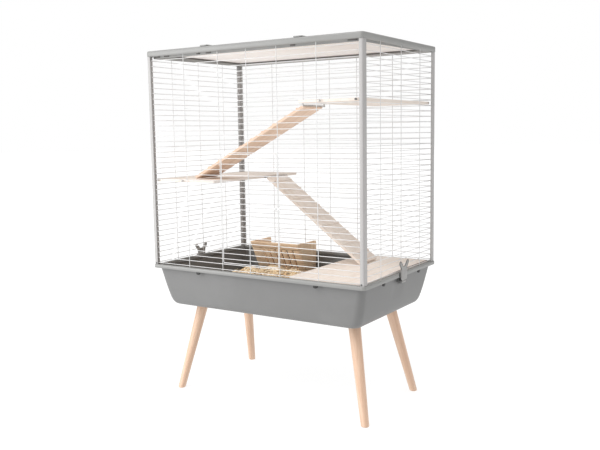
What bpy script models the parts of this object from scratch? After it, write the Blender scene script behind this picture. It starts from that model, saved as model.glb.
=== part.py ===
"""Wire small-animal hutch on four turned legs: tub, cage frame, grilles, shelves, ramps and hay rack.

Units are metres, Z is up.  X runs along the long side (front is -Y), the origin is on the
floor under the middle of the cage.  Every piece is one closed body with its own material.
Pieces that touch in the real hutch are kept CLEAR apart.
"""
import math

import bmesh
import bpy
from mathutils import Matrix, Vector

# ---------------------------------------------------------------- driving dimensions
CLEAR = 0.0003            # gap left between pieces that touch
CAGE_X = 0.390            # half length over the corner posts
CAGE_Y = 0.2436           # half depth over the corner posts
TOP_Z = 1.120             # top of the upper frame
FRAME_LAP = 0.003         # how far the upper frame stands out past the posts
FRAME_R = 0.011           # plan radius of the frame corners
BASE_LAP = 0.004          # how far the lower frame stands out past the posts
BASE_Z0 = 0.420           # lower edge of the lower frame
BASE_Z1 = 0.431           # upper edge of the lower frame
POST_TOP = 1.1027         # top of the corner posts
POST_W_FRONT = 0.012      # post face seen from the front
POST_W_SIDE = 0.021       # post face seen from the side
POST_T = 0.003            # post wall

WIRE = 0.0020             # wire thickness
WIRE_PLANE_Y = 0.2385     # middle of the front and back grilles
WIRE_PLANE_X = 0.3850     # middle of the side grilles
ROW_Z0 = 0.4366           # lowest horizontal wire
ROW_PITCH = 0.0172        # spacing of the horizontal wires
ROWS = 39
LONG_UPRIGHTS = (-0.242, -0.108, 0.0, 0.108, 0.242)
SHORT_UPRIGHTS = (-0.134, 0.0, 0.134)
LONG_REACH = 0.3860       # half length of the front and back horizontal wires
SHORT_REACH = 0.2325      # half length of the side horizontal wires
UPRIGHT_Z0 = 0.4315
UPRIGHT_Z1 = 1.1020

DOOR_ROW0 = 1             # row of wire under the door opening
DOOR_ROW1 = 21            # row of wire over the door opening
DOOR_GAP = 0.0045         # step from the opening wires to the door edge wires
DOOR_CATCH_X = 0.0990     # pivot of the finger catch on the door

TUB_BOTTOM_Z = 0.2955     # underside of the tub
TUB_FLOOR_Z = 0.2987      # inside floor of the tub
LEG_TOP_Z = 0.2919
LEG_R_TOP = 0.0190
LEG_R_FOOT = 0.0122
LEG_TOP_X = 0.290
LEG_TOP_Y = 0.120
LEG_SPLAY = 0.084         # how far each foot stands out from the leg top
LEG_TURN = {"leg_front_left": 228.0, "leg_front_right": -40.0,
            "leg_back_left": 117.0, "leg_back_right": 48.0}

SHELF_T = 0.008
SHELF_Y = 0.2345          # half depth of the shelves
UPPER_X = (0.175, 0.3765)
UPPER_Z = 0.939
MIDDLE_X = (-0.3765, -0.136)
MIDDLE_Z = 0.7045
PLATFORM_X = (0.128, 0.3783)
PLATFORM_Y = 0.2318
PLATFORM_Z = 0.4248

RAMP_T = 0.008
RUNG_H = 0.003
RUNG_W = 0.007
RUNG_PITCH = 0.047
UPPER_RAMP_Y = (-0.206, -0.100)
LOWER_RAMP_Y = (0.037, 0.152)
UPPER_ROD = (0.1790, 0.9325)      # x, z of the upper ramp's hinge rod
LOWER_ROD = (-0.1305, 0.7070)     # x, z of the lower ramp's hinge rod
ROD_R = 0.0025

RACK_X = (-0.2525, -0.0506)
RACK_BOARD = 0.006
RACK_SLOTS = 6
RACK_SLOT_PITCH = 0.0246
RACK_SLOT_SHIFT = 0.0085          # the row of slots sits a little right of the middle
RACK_FOOT = (0.1885, 0.2990)      # y, z of the foot of the slatted board
RACK_HEAD = (0.1000, 0.4700)      # y, z of its top edge

LATCH_AXIS_X = 0.3935     # side catch pivots, mirrored on the left
LATCH_AXIS_Z = 0.4050
ROOF_AXIS = (0.2395, 1.1237)      # y, z of the roof hinge line
ROOF_CLIP_X = 0.170
ROOF_BUTTON_SHIFT = 0.014         # both turn buttons sit a little right of the hinges
ROOF_LEDGE_Z = 1.1132             # ledge that carries the roof board
ROOF_T = 0.004
SKIRT_Z = 1.0960                  # lower edge of the inner skirt at the front
SKIRT_BACK_Z = 1.1026             # and at the back
ROOF_BUTTON_Y = -0.2195   # pivots of the two turn buttons


# ---------------------------------------------------------------- scene and materials
def clear_scene():
    for obj in list(bpy.data.objects):
        bpy.data.objects.remove(obj, do_unlink=True)
    for col in list(bpy.data.collections):
        bpy.data.collections.remove(col)


clear_scene()
PARTS = bpy.data.collections.new("wire_hutch")
CUTTERS = bpy.data.collections.new("cutters")
WORLD_OF = {}             # world origins of pieces that carry others
bpy.context.scene.collection.children.link(PARTS)
bpy.context.scene.collection.children.link(CUTTERS)

LOOKS = {
    "grey_plastic": ((0.34, 0.34, 0.34, 1.0), 0.45, 0.0),
    "grey_frame": ((0.40, 0.39, 0.38, 1.0), 0.42, 0.0),
    "dark_plastic": ((0.16, 0.16, 0.16, 1.0), 0.5, 0.0),
    "white_wire": ((0.86, 0.86, 0.86, 1.0), 0.3, 0.0),
    "pale_board": ((0.86, 0.78, 0.70, 1.0), 0.6, 0.0),
    "beech": ((0.80, 0.62, 0.44, 1.0), 0.5, 0.0),
    "rack_wood": ((0.78, 0.55, 0.36, 1.0), 0.6, 0.0),
    "zinc": ((0.45, 0.45, 0.46, 1.0), 0.35, 1.0),
    "hay": ((0.72, 0.60, 0.36, 1.0), 0.9, 0.0),
}


def paint(obj, look):
    """Give the object its own Principled material from the table above."""
    rgba, rough, metal = LOOKS[look]
    mat = bpy.data.materials.new(obj.name + "_" + look)
    mat.use_nodes = True
    shader = mat.node_tree.nodes["Principled BSDF"]
    shader.inputs["Base Color"].default_value = rgba
    shader.inputs["Roughness"].default_value = rough
    shader.inputs["Metallic"].default_value = metal
    obj.data.materials.clear()
    obj.data.materials.append(mat)


def tidy_mesh(mesh, merge=0.000005):
    """Weld doubles and turn every face outwards."""
    bm = bmesh.new()
    bm.from_mesh(mesh)
    bmesh.ops.remove_doubles(bm, verts=bm.verts, dist=merge)
    bmesh.ops.recalc_face_normals(bm, faces=bm.faces)
    if bm.calc_volume(signed=True) < 0.0:
        bmesh.ops.reverse_faces(bm, faces=bm.faces)
    bm.to_mesh(mesh)
    bm.free()


def add_piece(name, mesh, look, smooth=False):
    obj = bpy.data.objects.new(name, mesh)
    mesh.name = name
    PARTS.objects.link(obj)
    if smooth:
        mesh.shade_smooth()
        mesh.set_sharp_from_angle(angle=math.radians(38.0))
    paint(obj, look)
    return obj


def add_pivot(name, point):
    """Empty that stands on the joint axis of a body made of several pieces."""
    empty = bpy.data.objects.new(name, None)
    empty.empty_display_size = 0.03
    empty.location = point
    PARTS.objects.link(empty)
    return empty


def hang(obj, parent, pivot=None):
    """Parent a piece without moving it; pivot puts its own origin on its joint axis."""
    origin = Vector(pivot) if pivot else Vector((0.0, 0.0, 0.0))
    obj.data.transform(Matrix.Translation(-origin))
    obj.location = origin
    if parent:
        obj.parent = parent
        obj.location = origin - Vector(WORLD_OF.get(parent.name, parent.location))
    WORLD_OF[obj.name] = tuple(origin)


def finished(obj):
    """Evaluated copy of an object's mesh, its modifiers applied."""
    bpy.context.view_layer.update()
    graph = bpy.context.evaluated_depsgraph_get()
    return bpy.data.meshes.new_from_object(obj.evaluated_get(graph))


def drop(obj):
    bpy.data.objects.remove(obj, do_unlink=True)


# ---------------------------------------------------------------- shape helpers
def block_mesh(lo, hi, bevel=0.0, segments=2):
    """Box between two corners, its edges rounded with a Bevel modifier."""
    bm = bmesh.new()
    bmesh.ops.create_cube(bm, size=1.0)
    for v in bm.verts:
        for i in range(3):
            v.co[i] = lo[i] + (v.co[i] + 0.5) * (hi[i] - lo[i])
    mesh = bpy.data.meshes.new("block")
    bm.to_mesh(mesh)
    bm.free()
    if bevel <= 0.0:
        tidy_mesh(mesh)
        return mesh
    obj = bpy.data.objects.new("block", mesh)
    CUTTERS.objects.link(obj)
    mod = obj.modifiers.new("bevel", "BEVEL")
    mod.width = bevel
    mod.segments = segments
    out = finished(obj)
    drop(obj)
    tidy_mesh(out)
    return out


def plate_mesh(outline, depth, plane, at, holes=()):
    """Flat plate: a filled 2D outline pushed out to a depth, laid in a plane.

    plane "xy" keeps the outline flat, "xz" stands it up facing -Y, "yz" stands it up facing +X.
    at is the middle of the plate along the third axis.
    """
    curve = bpy.data.curves.new("plate", "CURVE")
    curve.dimensions = "2D"
    curve.fill_mode = "BOTH"
    curve.extrude = depth / 2.0
    for ring in (outline,) + tuple(holes):
        spline = curve.splines.new("POLY")
        spline.points.add(len(ring) - 1)
        for point, (u, v) in zip(spline.points, ring):
            point.co = (u, v, 0.0, 1.0)
        spline.use_cyclic_u = True
    obj = bpy.data.objects.new("plate", curve)
    CUTTERS.objects.link(obj)
    mesh = finished(obj)
    drop(obj)
    if plane == "xz":
        mesh.transform(Matrix(((1, 0, 0, 0), (0, 0, -1, at), (0, 1, 0, 0), (0, 0, 0, 1))))
    elif plane == "yz":
        mesh.transform(Matrix(((0, 0, 1, at), (1, 0, 0, 0), (0, 1, 0, 0), (0, 0, 0, 1))))
    else:
        mesh.transform(Matrix.Translation((0.0, 0.0, at)))
    tidy_mesh(mesh)
    return mesh


def rod_mesh(points, radius, sides=8, cyclic=False):
    """Round bar through the points, made with a bevelled curve and filled ends."""
    curve = bpy.data.curves.new("rod", "CURVE")
    curve.dimensions = "3D"
    curve.bevel_depth = radius
    curve.bevel_resolution = max(0, sides // 2 - 2)
    curve.use_fill_caps = True
    spline = curve.splines.new("POLY")
    spline.points.add(len(points) - 1)
    for point, co in zip(spline.points, points):
        point.co = (co[0], co[1], co[2], 1.0)
    spline.use_cyclic_u = cyclic
    obj = bpy.data.objects.new("rod", curve)
    CUTTERS.objects.link(obj)
    mesh = finished(obj)
    drop(obj)
    tidy_mesh(mesh)
    return mesh


def turned_mesh(profile, steps, axis, centre):
    """Lathe work: (radius, height) profile, top to bottom, swung round with a Screw modifier."""
    mesh = bpy.data.meshes.new("turned")
    verts = [(r, 0.0, h) for r, h in profile]
    mesh.from_pydata(verts, [(i, i + 1) for i in range(len(verts) - 1)], [])
    obj = bpy.data.objects.new("turned", mesh)
    CUTTERS.objects.link(obj)
    mod = obj.modifiers.new("screw", "SCREW")
    mod.axis = "Z"
    mod.steps = steps
    mod.render_steps = steps
    mod.use_merge_vertices = True
    mod.merge_threshold = 0.00001
    out = finished(obj)
    drop(obj)
    out.transform(Vector((0, 0, 1)).rotation_difference(Vector(axis)).to_matrix().to_4x4())
    out.transform(Matrix.Translation(centre))
    tidy_mesh(out)
    return out


def joined(meshes):
    """One closed body from overlapping closed meshes (exact union)."""
    base = bpy.data.objects.new("base", meshes[0])
    CUTTERS.objects.link(base)
    for extra in meshes[1:]:
        tool = bpy.data.objects.new("tool", extra)
        CUTTERS.objects.link(tool)
        mod = base.modifiers.new("union", "BOOLEAN")
        mod.operation = "UNION"
        mod.solver = "EXACT"
        mod.object = tool
        result = finished(base)
        base.modifiers.clear()
        base.data = result
        drop(tool)
    out = base.data
    drop(base)
    tidy_mesh(out)
    return out


def carved(mesh, tools):
    """The mesh with each closed tool mesh cut away (exact difference)."""
    base = bpy.data.objects.new("base", mesh)
    CUTTERS.objects.link(base)
    for shape in tools:
        tool = bpy.data.objects.new("tool", shape)
        CUTTERS.objects.link(tool)
        mod = base.modifiers.new("cut", "BOOLEAN")
        mod.operation = "DIFFERENCE"
        mod.solver = "EXACT"
        mod.object = tool
        result = finished(base)
        base.modifiers.clear()
        base.data = result
        drop(tool)
    out = base.data
    drop(base)
    tidy_mesh(out)
    return out


def rounded_rect(hx, hy, radius, arc=4):
    """Counter-clockwise rounded rectangle with arc + 1 points on each corner."""
    ring = []
    for cx, cy, start in ((hx, hy, 0.0), (-hx, hy, 90.0), (-hx, -hy, 180.0), (hx, -hy, 270.0)):
        ox = cx - math.copysign(radius, cx)
        oy = cy - math.copysign(radius, cy)
        for i in range(arc + 1):
            a = math.radians(start + 90.0 * i / arc)
            ring.append((ox + radius * math.cos(a), oy + radius * math.sin(a)))
    return ring


def skin_mesh(rings, capped):
    """Closed body skinned quad by quad through rings of equal point count.

    capped closes the first and last ring with a face; otherwise the last ring joins the first,
    which makes a tube that bends round on itself.
    """
    bm = bmesh.new()
    loops = [[bm.verts.new(co) for co in ring] for ring in rings]
    pairs = list(zip(loops, loops[1:]))
    if not capped:
        pairs.append((loops[-1], loops[0]))
    for lower, upper in pairs:
        for i in range(len(lower)):
            j = (i + 1) % len(lower)
            bm.faces.new((lower[i], lower[j], upper[j], upper[i]))
    if capped:
        bm.faces.new(loops[0])
        bm.faces.new(loops[-1])
    mesh = bpy.data.meshes.new("skin")
    bm.to_mesh(mesh)
    bm.free()
    tidy_mesh(mesh)
    return mesh


def frame_ring_mesh(section, hx, hy, radius, arc=4):
    """Closed moulding: a section (inset from the outer face, height) run round the cage."""
    rings = []
    for inset, z in section:
        plan = rounded_rect(hx - inset, hy - inset, max(radius - inset, 0.0015), arc)
        rings.append([(x, y, z) for x, y in plan])
    return skin_mesh(rings, capped=False)


def lines_of(centres, lo, hi):
    """Grid line positions for wires at the centres, with the two outer ends."""
    values = []
    for c in centres:
        values.extend((c - WIRE / 2.0, c + WIRE / 2.0))
    return sorted(values + [lo, hi]) if lo is not None else sorted(values)


def grille_mesh(uprights, rows, u_lo, u_hi, v_lo, v_hi, plane, at, opening=None):
    """Welded wire grille as one body.

    A grid sheet is laid out on the wire edges, the cells between wires are deleted and a
    Solidify modifier gives the wire its thickness.  opening = (u0, u1, v0, v1) clears a doorway.
    """
    us = lines_of(uprights, u_lo, u_hi)
    vs = lines_of(rows, v_lo, v_hi)
    bm = bmesh.new()
    bmesh.ops.create_grid(bm, x_segments=len(us) - 1, y_segments=len(vs) - 1, size=0.5)
    for vert in bm.verts:
        i = round((vert.co.x + 0.5) * (len(us) - 1))
        j = round((vert.co.y + 0.5) * (len(vs) - 1))
        vert.co = (us[i], vs[j], 0.0)
    empty = []
    half = WIRE / 2.0 + 0.00001
    for face in bm.faces:
        u, v, _ = face.calc_center_median()
        on_upright = any(abs(u - c) < half for c in uprights)
        on_row = any(abs(v - c) < half for c in rows)
        in_door = opening and opening[0] < u < opening[1] and opening[2] < v < opening[3]
        if in_door or not (on_upright or on_row):
            empty.append(face)
    bmesh.ops.delete(bm, geom=empty, context="FACES")
    mesh = bpy.data.meshes.new("grille")
    bm.to_mesh(mesh)
    bm.free()
    obj = bpy.data.objects.new("grille", mesh)
    CUTTERS.objects.link(obj)
    mod = obj.modifiers.new("solidify", "SOLIDIFY")
    mod.thickness = WIRE
    mod.offset = 0.0
    mod.use_rim = True
    out = finished(obj)
    drop(obj)
    if plane == "xz":
        out.transform(Matrix(((1, 0, 0, 0), (0, 0, -1, at), (0, 1, 0, 0), (0, 0, 0, 1))))
    else:
        out.transform(Matrix(((0, 0, 1, at), (1, 0, 0, 0), (0, 1, 0, 0), (0, 0, 0, 1))))
    tidy_mesh(out)
    return out


def row_z(k):
    return ROW_Z0 + ROW_PITCH * k


# ---------------------------------------------------------------- tub, legs and their plates
def build_tub():
    outside = ((TUB_BOTTOM_Z, 0.3370, 0.1995, 0.020), (0.2970, 0.3440, 0.2055, 0.022),
               (0.3015, 0.3505, 0.2110, 0.024), (0.3110, 0.3570, 0.2160, 0.025),
               (0.3280, 0.3630, 0.2200, 0.025), (0.3520, 0.3695, 0.2245, 0.025),
               (0.3850, 0.3765, 0.2300, 0.024), (0.4185, 0.3830, 0.2350, 0.022),
               (0.4200, 0.3840, 0.2360, 0.020), (0.4202, 0.3890, 0.2425, 0.012),
               (0.4245, 0.3890, 0.2425, 0.012))
    inside = ((0.4245, 0.3745, 0.2285, 0.018), (0.4205, 0.3745, 0.2285, 0.018),
              (0.4175, 0.3798, 0.2318, 0.020), (0.3850, 0.3735, 0.2270, 0.021),
              (0.3520, 0.3663, 0.2213, 0.022), (0.3295, 0.3599, 0.2169, 0.022),
              (0.3140, 0.3541, 0.2131, 0.021), (0.3050, 0.3475, 0.2084, 0.019),
              (0.3005, 0.3410, 0.2030, 0.017), (TUB_FLOOR_Z, 0.3350, 0.1980, 0.014))
    rings = []
    for z, hx, hy, r in outside + inside:
        rings.append([(x, y, z) for x, y in rounded_rect(hx, hy, r)])
    return add_piece("tub", skin_mesh(rings, capped=True), "grey_plastic", smooth=True)


def build_leg(name, turn):
    """Sheared taper: level circles from the plate down to a flat foot on the floor."""
    sx = -1.0 if "left" in name else 1.0
    sy = -1.0 if "front" in name else 1.0
    top = Vector((sx * LEG_TOP_X, sy * LEG_TOP_Y))
    lean = Vector((math.cos(math.radians(turn)), math.sin(math.radians(turn)))) * LEG_SPLAY
    levels = ((0.0, LEG_R_FOOT - 0.0012), (0.0012, LEG_R_FOOT), (0.10, 0.0145), (0.20, 0.0170),
              (LEG_TOP_Z - 0.001, LEG_R_TOP), (LEG_TOP_Z, LEG_R_TOP - 0.001))
    rings = []
    for z, r in levels:
        mid = top + lean * (1.0 - z / LEG_TOP_Z)
        ring = []
        for i in range(16):
            a = math.tau * i / 16
            ring.append((mid.x + r * math.cos(a), mid.y + r * math.sin(a), z))
        rings.append(ring)
    add_piece(name, skin_mesh(rings, capped=True), "beech", smooth=True)
    plate = rounded_rect(0.024, 0.024, 0.006, 3)
    outline = [(top.x + u, top.y + v) for u, v in plate]
    z0 = LEG_TOP_Z + CLEAR
    z1 = TUB_BOTTOM_Z - CLEAR
    mesh = plate_mesh(outline, z1 - z0, "xy", (z0 + z1) / 2.0)
    add_piece(name.replace("leg_", "leg_plate_"), mesh, "dark_plastic")


build_tub()
for leg_name, leg_turn in LEG_TURN.items():
    build_leg(leg_name, leg_turn)


# ---------------------------------------------------------------- cage frame
def build_base_frame():
    """Lower moulding that caps the tub rim, with two snap tabs hanging down on each side."""
    section = ((0.0, BASE_Z0), (0.0, BASE_Z1 - 0.0015), (0.0015, BASE_Z1), (0.0150, BASE_Z1),
               (0.0150, 0.4248), (0.0036, 0.4248), (0.0036, BASE_Z0))
    hx = CAGE_X + BASE_LAP
    hy = CAGE_Y + BASE_LAP
    shapes = [frame_ring_mesh(section, hx, hy, FRAME_R)]
    for side in (-1.0, 1.0):
        for x in (-0.215, 0.215):
            face = side * (hy - 0.0018)
            shapes.append(block_mesh((x - 0.005, min(face, face - side * 0.0012), 0.4125),
                                     (x + 0.005, max(face, face - side * 0.0012), 0.4240)))
        for y in (-0.117, 0.117):
            face = side * (hx - 0.0018)
            shapes.append(block_mesh((min(face, face - side * 0.0012), y - 0.005, 0.4125),
                                     (max(face, face - side * 0.0012), y + 0.005, 0.4240)))
    add_piece("base_frame", joined(shapes), "grey_frame")


def build_posts():
    """Folded corner posts, open on the inside where the wires end."""
    for sy, row in ((-1.0, "front"), (1.0, "back")):
        for sx, side in ((-1.0, "left"), (1.0, "right")):
            outline = []
            for u, v in ((0.0, 0.0), (POST_W_FRONT, 0.0), (POST_W_FRONT, POST_T),
                         (POST_T, POST_T), (POST_T, POST_W_SIDE), (0.0, POST_W_SIDE)):
                outline.append((sx * (CAGE_X - u), sy * (CAGE_Y - v)))
            z0 = BASE_Z1 + CLEAR
            mesh = plate_mesh(outline, POST_TOP - z0, "xy", (POST_TOP + z0) / 2.0)
            add_piece("post_%s_%s" % (row, side), mesh, "grey_frame")


def build_top_frame():
    """Upper moulding with an inner ledge that carries the roof board."""
    section = ((0.0, 1.1030), (0.0, 1.1170), (0.0009, 1.1191), (0.0030, 1.1200), (0.0110, 1.1200),
               (0.0110, ROOF_LEDGE_Z), (0.0190, ROOF_LEDGE_Z), (0.0190, SKIRT_Z), (0.0170, SKIRT_Z),
               (0.0170, 1.1030))
    mesh = frame_ring_mesh(section, CAGE_X + FRAME_LAP, CAGE_Y + FRAME_LAP, FRAME_R)
    for v in mesh.vertices:
        if v.co.z < SKIRT_Z + 0.001 and v.co.y > 0.0:
            v.co.z = SKIRT_BACK_Z
    add_piece("top_frame", mesh, "grey_frame")


def build_post_screws():
    """Small screw heads at the foot of each post."""
    for sy, row in ((-1.0, "front"), (1.0, "back")):
        for sx, side in ((-1.0, "left"), (1.0, "right")):
            profile = ((0.0, 0.0014), (0.0014, 0.0012), (0.0022, 0.0004), (0.0022, 0.0), (0.0, 0.0))
            centre = (sx * (CAGE_X - 0.0075), sy * (CAGE_Y + CLEAR), BASE_Z1 + 0.0045)
            mesh = turned_mesh(profile, 8, (0.0, sy, 0.0), centre)
            add_piece("post_screw_%s_%s" % (row, side), mesh, "zinc")


build_base_frame()
build_posts()
build_top_frame()
build_post_screws()


# ---------------------------------------------------------------- wire grilles and door
def build_grilles():
    rows = [row_z(k) for k in range(ROWS)]
    half = WIRE / 2.0
    door = (-0.108 + half, 0.108 - half, row_z(DOOR_ROW0) + half, row_z(DOOR_ROW1) - half)
    mesh = grille_mesh(LONG_UPRIGHTS, rows, -LONG_REACH, LONG_REACH, UPRIGHT_Z0, UPRIGHT_Z1,
                       "xz", -WIRE_PLANE_Y, opening=door)
    add_piece("grille_front", mesh, "white_wire")
    mesh = grille_mesh(LONG_UPRIGHTS, rows, -LONG_REACH, LONG_REACH, UPRIGHT_Z0, UPRIGHT_Z1,
                       "xz", WIRE_PLANE_Y)
    add_piece("grille_back", mesh, "white_wire")
    for side, name in ((-1.0, "grille_left"), (1.0, "grille_right")):
        mesh = grille_mesh(SHORT_UPRIGHTS, rows, -SHORT_REACH, SHORT_REACH, UPRIGHT_Z0,
                           UPRIGHT_Z1, "yz", side * WIRE_PLANE_X)
        add_piece(name, mesh, "white_wire")


def build_door():
    """Door grille with two eyes that turn on the upright left of the doorway."""
    edge = 0.108 - DOOR_GAP
    z0 = row_z(DOOR_ROW0) + DOOR_GAP
    z1 = row_z(DOOR_ROW1) - DOOR_GAP
    rows = [z0] + [row_z(k) for k in range(DOOR_ROW0 + 1, DOOR_ROW1)] + [z1]
    uprights = (-edge, 0.0, edge)
    shapes = [grille_mesh(uprights, rows, None, None, None, None, "xz", -WIRE_PLANE_Y)]
    for k in (DOOR_ROW0 + 3, DOOR_ROW1 - 4):
        mid = row_z(k) + ROW_PITCH / 2.0
        ring = []
        bore = []
        for i in range(12):
            a = math.tau * i / 12
            ring.append((-0.108 + 0.0040 * math.cos(a), -WIRE_PLANE_Y + 0.0040 * math.sin(a)))
            bore.append((-0.108 + 0.0019 * math.cos(a), -WIRE_PLANE_Y + 0.0019 * math.sin(a)))
        shapes.append(plate_mesh(ring, 0.010, "xy", mid, holes=(bore,)))
    obj = add_piece("door", joined(shapes), "white_wire")
    return obj


def build_door_latch():
    """Small finger catch on the door that reaches over the upright beside it."""
    z = row_z(11) + ROW_PITCH / 2.0
    bar = []
    for u, v in ((-0.0045, -0.0035), (-0.0028, -0.0052), (0.0028, -0.0052), (0.0150, -0.0030),
                 (0.0165, -0.0012), (0.0165, 0.0012), (0.0150, 0.0030), (0.0028, 0.0052),
                 (-0.0028, 0.0052), (-0.0045, 0.0035)):
        bar.append((DOOR_CATCH_X + u, z + v))
    arm = plate_mesh(bar, 0.0018, "xz", -0.2407)
    knob = turned_mesh(((0.0, 0.0042), (0.0026, 0.0038), (0.0034, 0.0024), (0.0034, 0.0), (0.0, 0.0)),
                       10, (0.0, -1.0, 0.0), (DOOR_CATCH_X, -0.2410, z))
    add_piece("door_latch", joined([arm, knob]), "white_wire")


build_grilles()
build_door()
build_door_latch()


# ---------------------------------------------------------------- side catches
def build_side_catches():
    """Forked catches that hold the cage down on the tub, each on its own bracket."""
    right = ((0.0140, 0.4085), (0.0140, 0.4108), (0.0190, 0.4126), (0.0196, 0.4150),
             (0.0189, 0.4300), (0.0185, 0.4420), (0.0202, 0.4492), (0.0248, 0.4538),
             (0.0296, 0.4583), (0.0310, 0.4625), (0.0300, 0.4667), (0.0263, 0.4690),
             (0.0220, 0.4682), (0.0188, 0.4655), (0.0110, 0.4545), (0.0055, 0.4514))
    fork = right + tuple((-y, z) for y, z in reversed(right))
    for side, name in ((1.0, "right"), (-1.0, "left")):
        x0 = side * LATCH_AXIS_X
        face = plate_mesh(fork, 0.0028, "yz", x0 + side * 0.0029)
        barrel = turned_mesh(((0.0, 0.014), (0.0040, 0.014), (0.0040, -0.014), (0.0, -0.014)), 16,
                             (0.0, 1.0, 0.0), (x0, 0.0, LATCH_AXIS_Z))
        shapes = [face, barrel]
        bore = turned_mesh(((0.0, 0.020), (0.0021, 0.020), (0.0021, -0.020), (0.0, -0.020)), 16,
                           (0.0, 1.0, 0.0), (x0, 0.0, LATCH_AXIS_Z))
        add_piece("latch_" + name, carved(joined(shapes), [bore]), "grey_frame")

        ears = []
        for y in (-0.0165, 0.0165):
            ears.append(block_mesh((min(side * 0.3840, side * 0.3970), y - 0.0015, 0.4010),
                                   (max(side * 0.3840, side * 0.3970), y + 0.0015, 0.4090)))
        back = block_mesh((min(side * 0.3838, side * 0.3858), -0.018, 0.3980),
                          (max(side * 0.3838, side * 0.3858), 0.018, 0.4150))
        pin = turned_mesh(((0.0, 0.0178), (0.0016, 0.0178), (0.0016, -0.0178), (0.0, -0.0178)), 12,
                          (0.0, 1.0, 0.0), (x0, 0.0, LATCH_AXIS_Z))
        add_piece("latch_bracket_" + name, joined([back] + ears + [pin]), "grey_plastic")


build_side_catches()


# ---------------------------------------------------------------- roof
def build_roof():
    """Lift-up roof board with two strap hinges behind and two turn buttons in front."""
    z0 = ROOF_LEDGE_Z + CLEAR
    mesh = block_mesh((-0.3805, -0.2340, z0), (0.3805, 0.2340, z0 + ROOF_T), 0.0008, 1)
    add_piece("roof_board", mesh, "pale_board")
    board_top = z0 + ROOF_T + CLEAR
    y_axis, z_axis = ROOF_AXIS
    for side, name in ((-1.0, "left"), (1.0, "right")):
        x = side * ROOF_CLIP_X
        barrel = turned_mesh(((0.0, 0.0155), (0.0032, 0.0155), (0.0032, -0.0155), (0.0, -0.0155)),
                             12, (1.0, 0.0, 0.0), (x, y_axis, z_axis))
        strap = block_mesh((x - 0.0155, 0.2120, 1.1206), (x + 0.0155, y_axis, 1.1230))
        foot = block_mesh((x - 0.0155, 0.2120, board_top), (x + 0.0155, 0.2310, 1.1215))
        add_piece("roof_hinge_" + name, joined([strap, foot, barrel]), "grey_frame")
        x += ROOF_BUTTON_SHIFT
        plate = [(x + u, -0.2305 + v) for u, v in rounded_rect(0.0152, 0.0152, 0.004, 3)]
        button = plate_mesh(plate, 0.0030, "xy", 1.1222)
        stem = turned_mesh(((0.0, 1.1228), (0.0060, 1.1228), (0.0060, board_top), (0.0, board_top)),
                           12, (0.0, 0.0, 1.0), (x, ROOF_BUTTON_Y, 0.0))
        add_piece("roof_button_" + name, joined([button, stem]), "grey_frame")


build_roof()


# ---------------------------------------------------------------- shelves and their bolts
def build_shelves():
    for name, span, z, half in (("shelf_upper", UPPER_X, UPPER_Z, SHELF_Y),
                                ("shelf_middle", MIDDLE_X, MIDDLE_Z, SHELF_Y),
                                ("platform", PLATFORM_X, PLATFORM_Z, PLATFORM_Y)):
        mesh = block_mesh((span[0], -half, z), (span[1], half, z + SHELF_T), 0.0010, 1)
        add_piece(name, mesh, "pale_board")


def build_shelf_bolts():
    """Headed pins in the shelf edges that reach out between the wires to carry the shelf."""
    places = (("upper_inner", 0.2510, 0.9430), ("upper_outer", 0.3660, 0.9430),
              ("middle_inner", -0.2620, 0.7083), ("middle_outer", -0.3660, 0.7083))
    profile = ((0.0, 0.0086), (0.0024, 0.0081), (0.0031, 0.0070), (0.0031, 0.0058),
               (0.0019, 0.0054), (0.0019, 0.0), (0.0, 0.0))
    for label, x, z in places:
        for sy, row in ((-1.0, "front"), (1.0, "back")):
            centre = (x, sy * (SHELF_Y + CLEAR), z)
            mesh = turned_mesh(profile, 8, (0.0, sy, 0.0), centre)
            add_piece("shelf_bolt_%s_%s" % (label, row), mesh, "zinc")


build_shelves()
build_shelf_bolts()


# ---------------------------------------------------------------- ramps
def build_ramp(name, rod, foot_x, foot_z, y_span):
    """Board with cross strips along its top, hung from a rod at its upper end."""
    top = Vector(rod)
    drop_vec = Vector((foot_x, foot_z)) - top
    run = drop_vec.length
    along = drop_vec / run
    up = Vector((-along.y, along.x))
    if up.y < 0.0:
        up = -up
    start = ROD_R + 0.0012
    half = RAMP_T / 2.0
    outline = [top + along * start - up * half, top + along * run - up * half,
               top + along * run + up * half]
    count = int((run - 0.05) / RUNG_PITCH)
    for i in range(count, -1, -1):
        s = 0.028 + RUNG_PITCH * i
        for shift, lift in ((RUNG_W / 2.0, 0.0), (RUNG_W / 2.0 - 0.001, RUNG_H),
                            (0.001 - RUNG_W / 2.0, RUNG_H), (-RUNG_W / 2.0, 0.0)):
            outline.append(top + along * (s + shift) + up * (half + lift))
    outline.append(top + along * start + up * half)
    depth = y_span[1] - y_span[0]
    mesh = plate_mesh([(p.x, p.y) for p in outline], depth, "xz", (y_span[0] + y_span[1]) / 2.0)
    add_piece(name, mesh, "pale_board")


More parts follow.
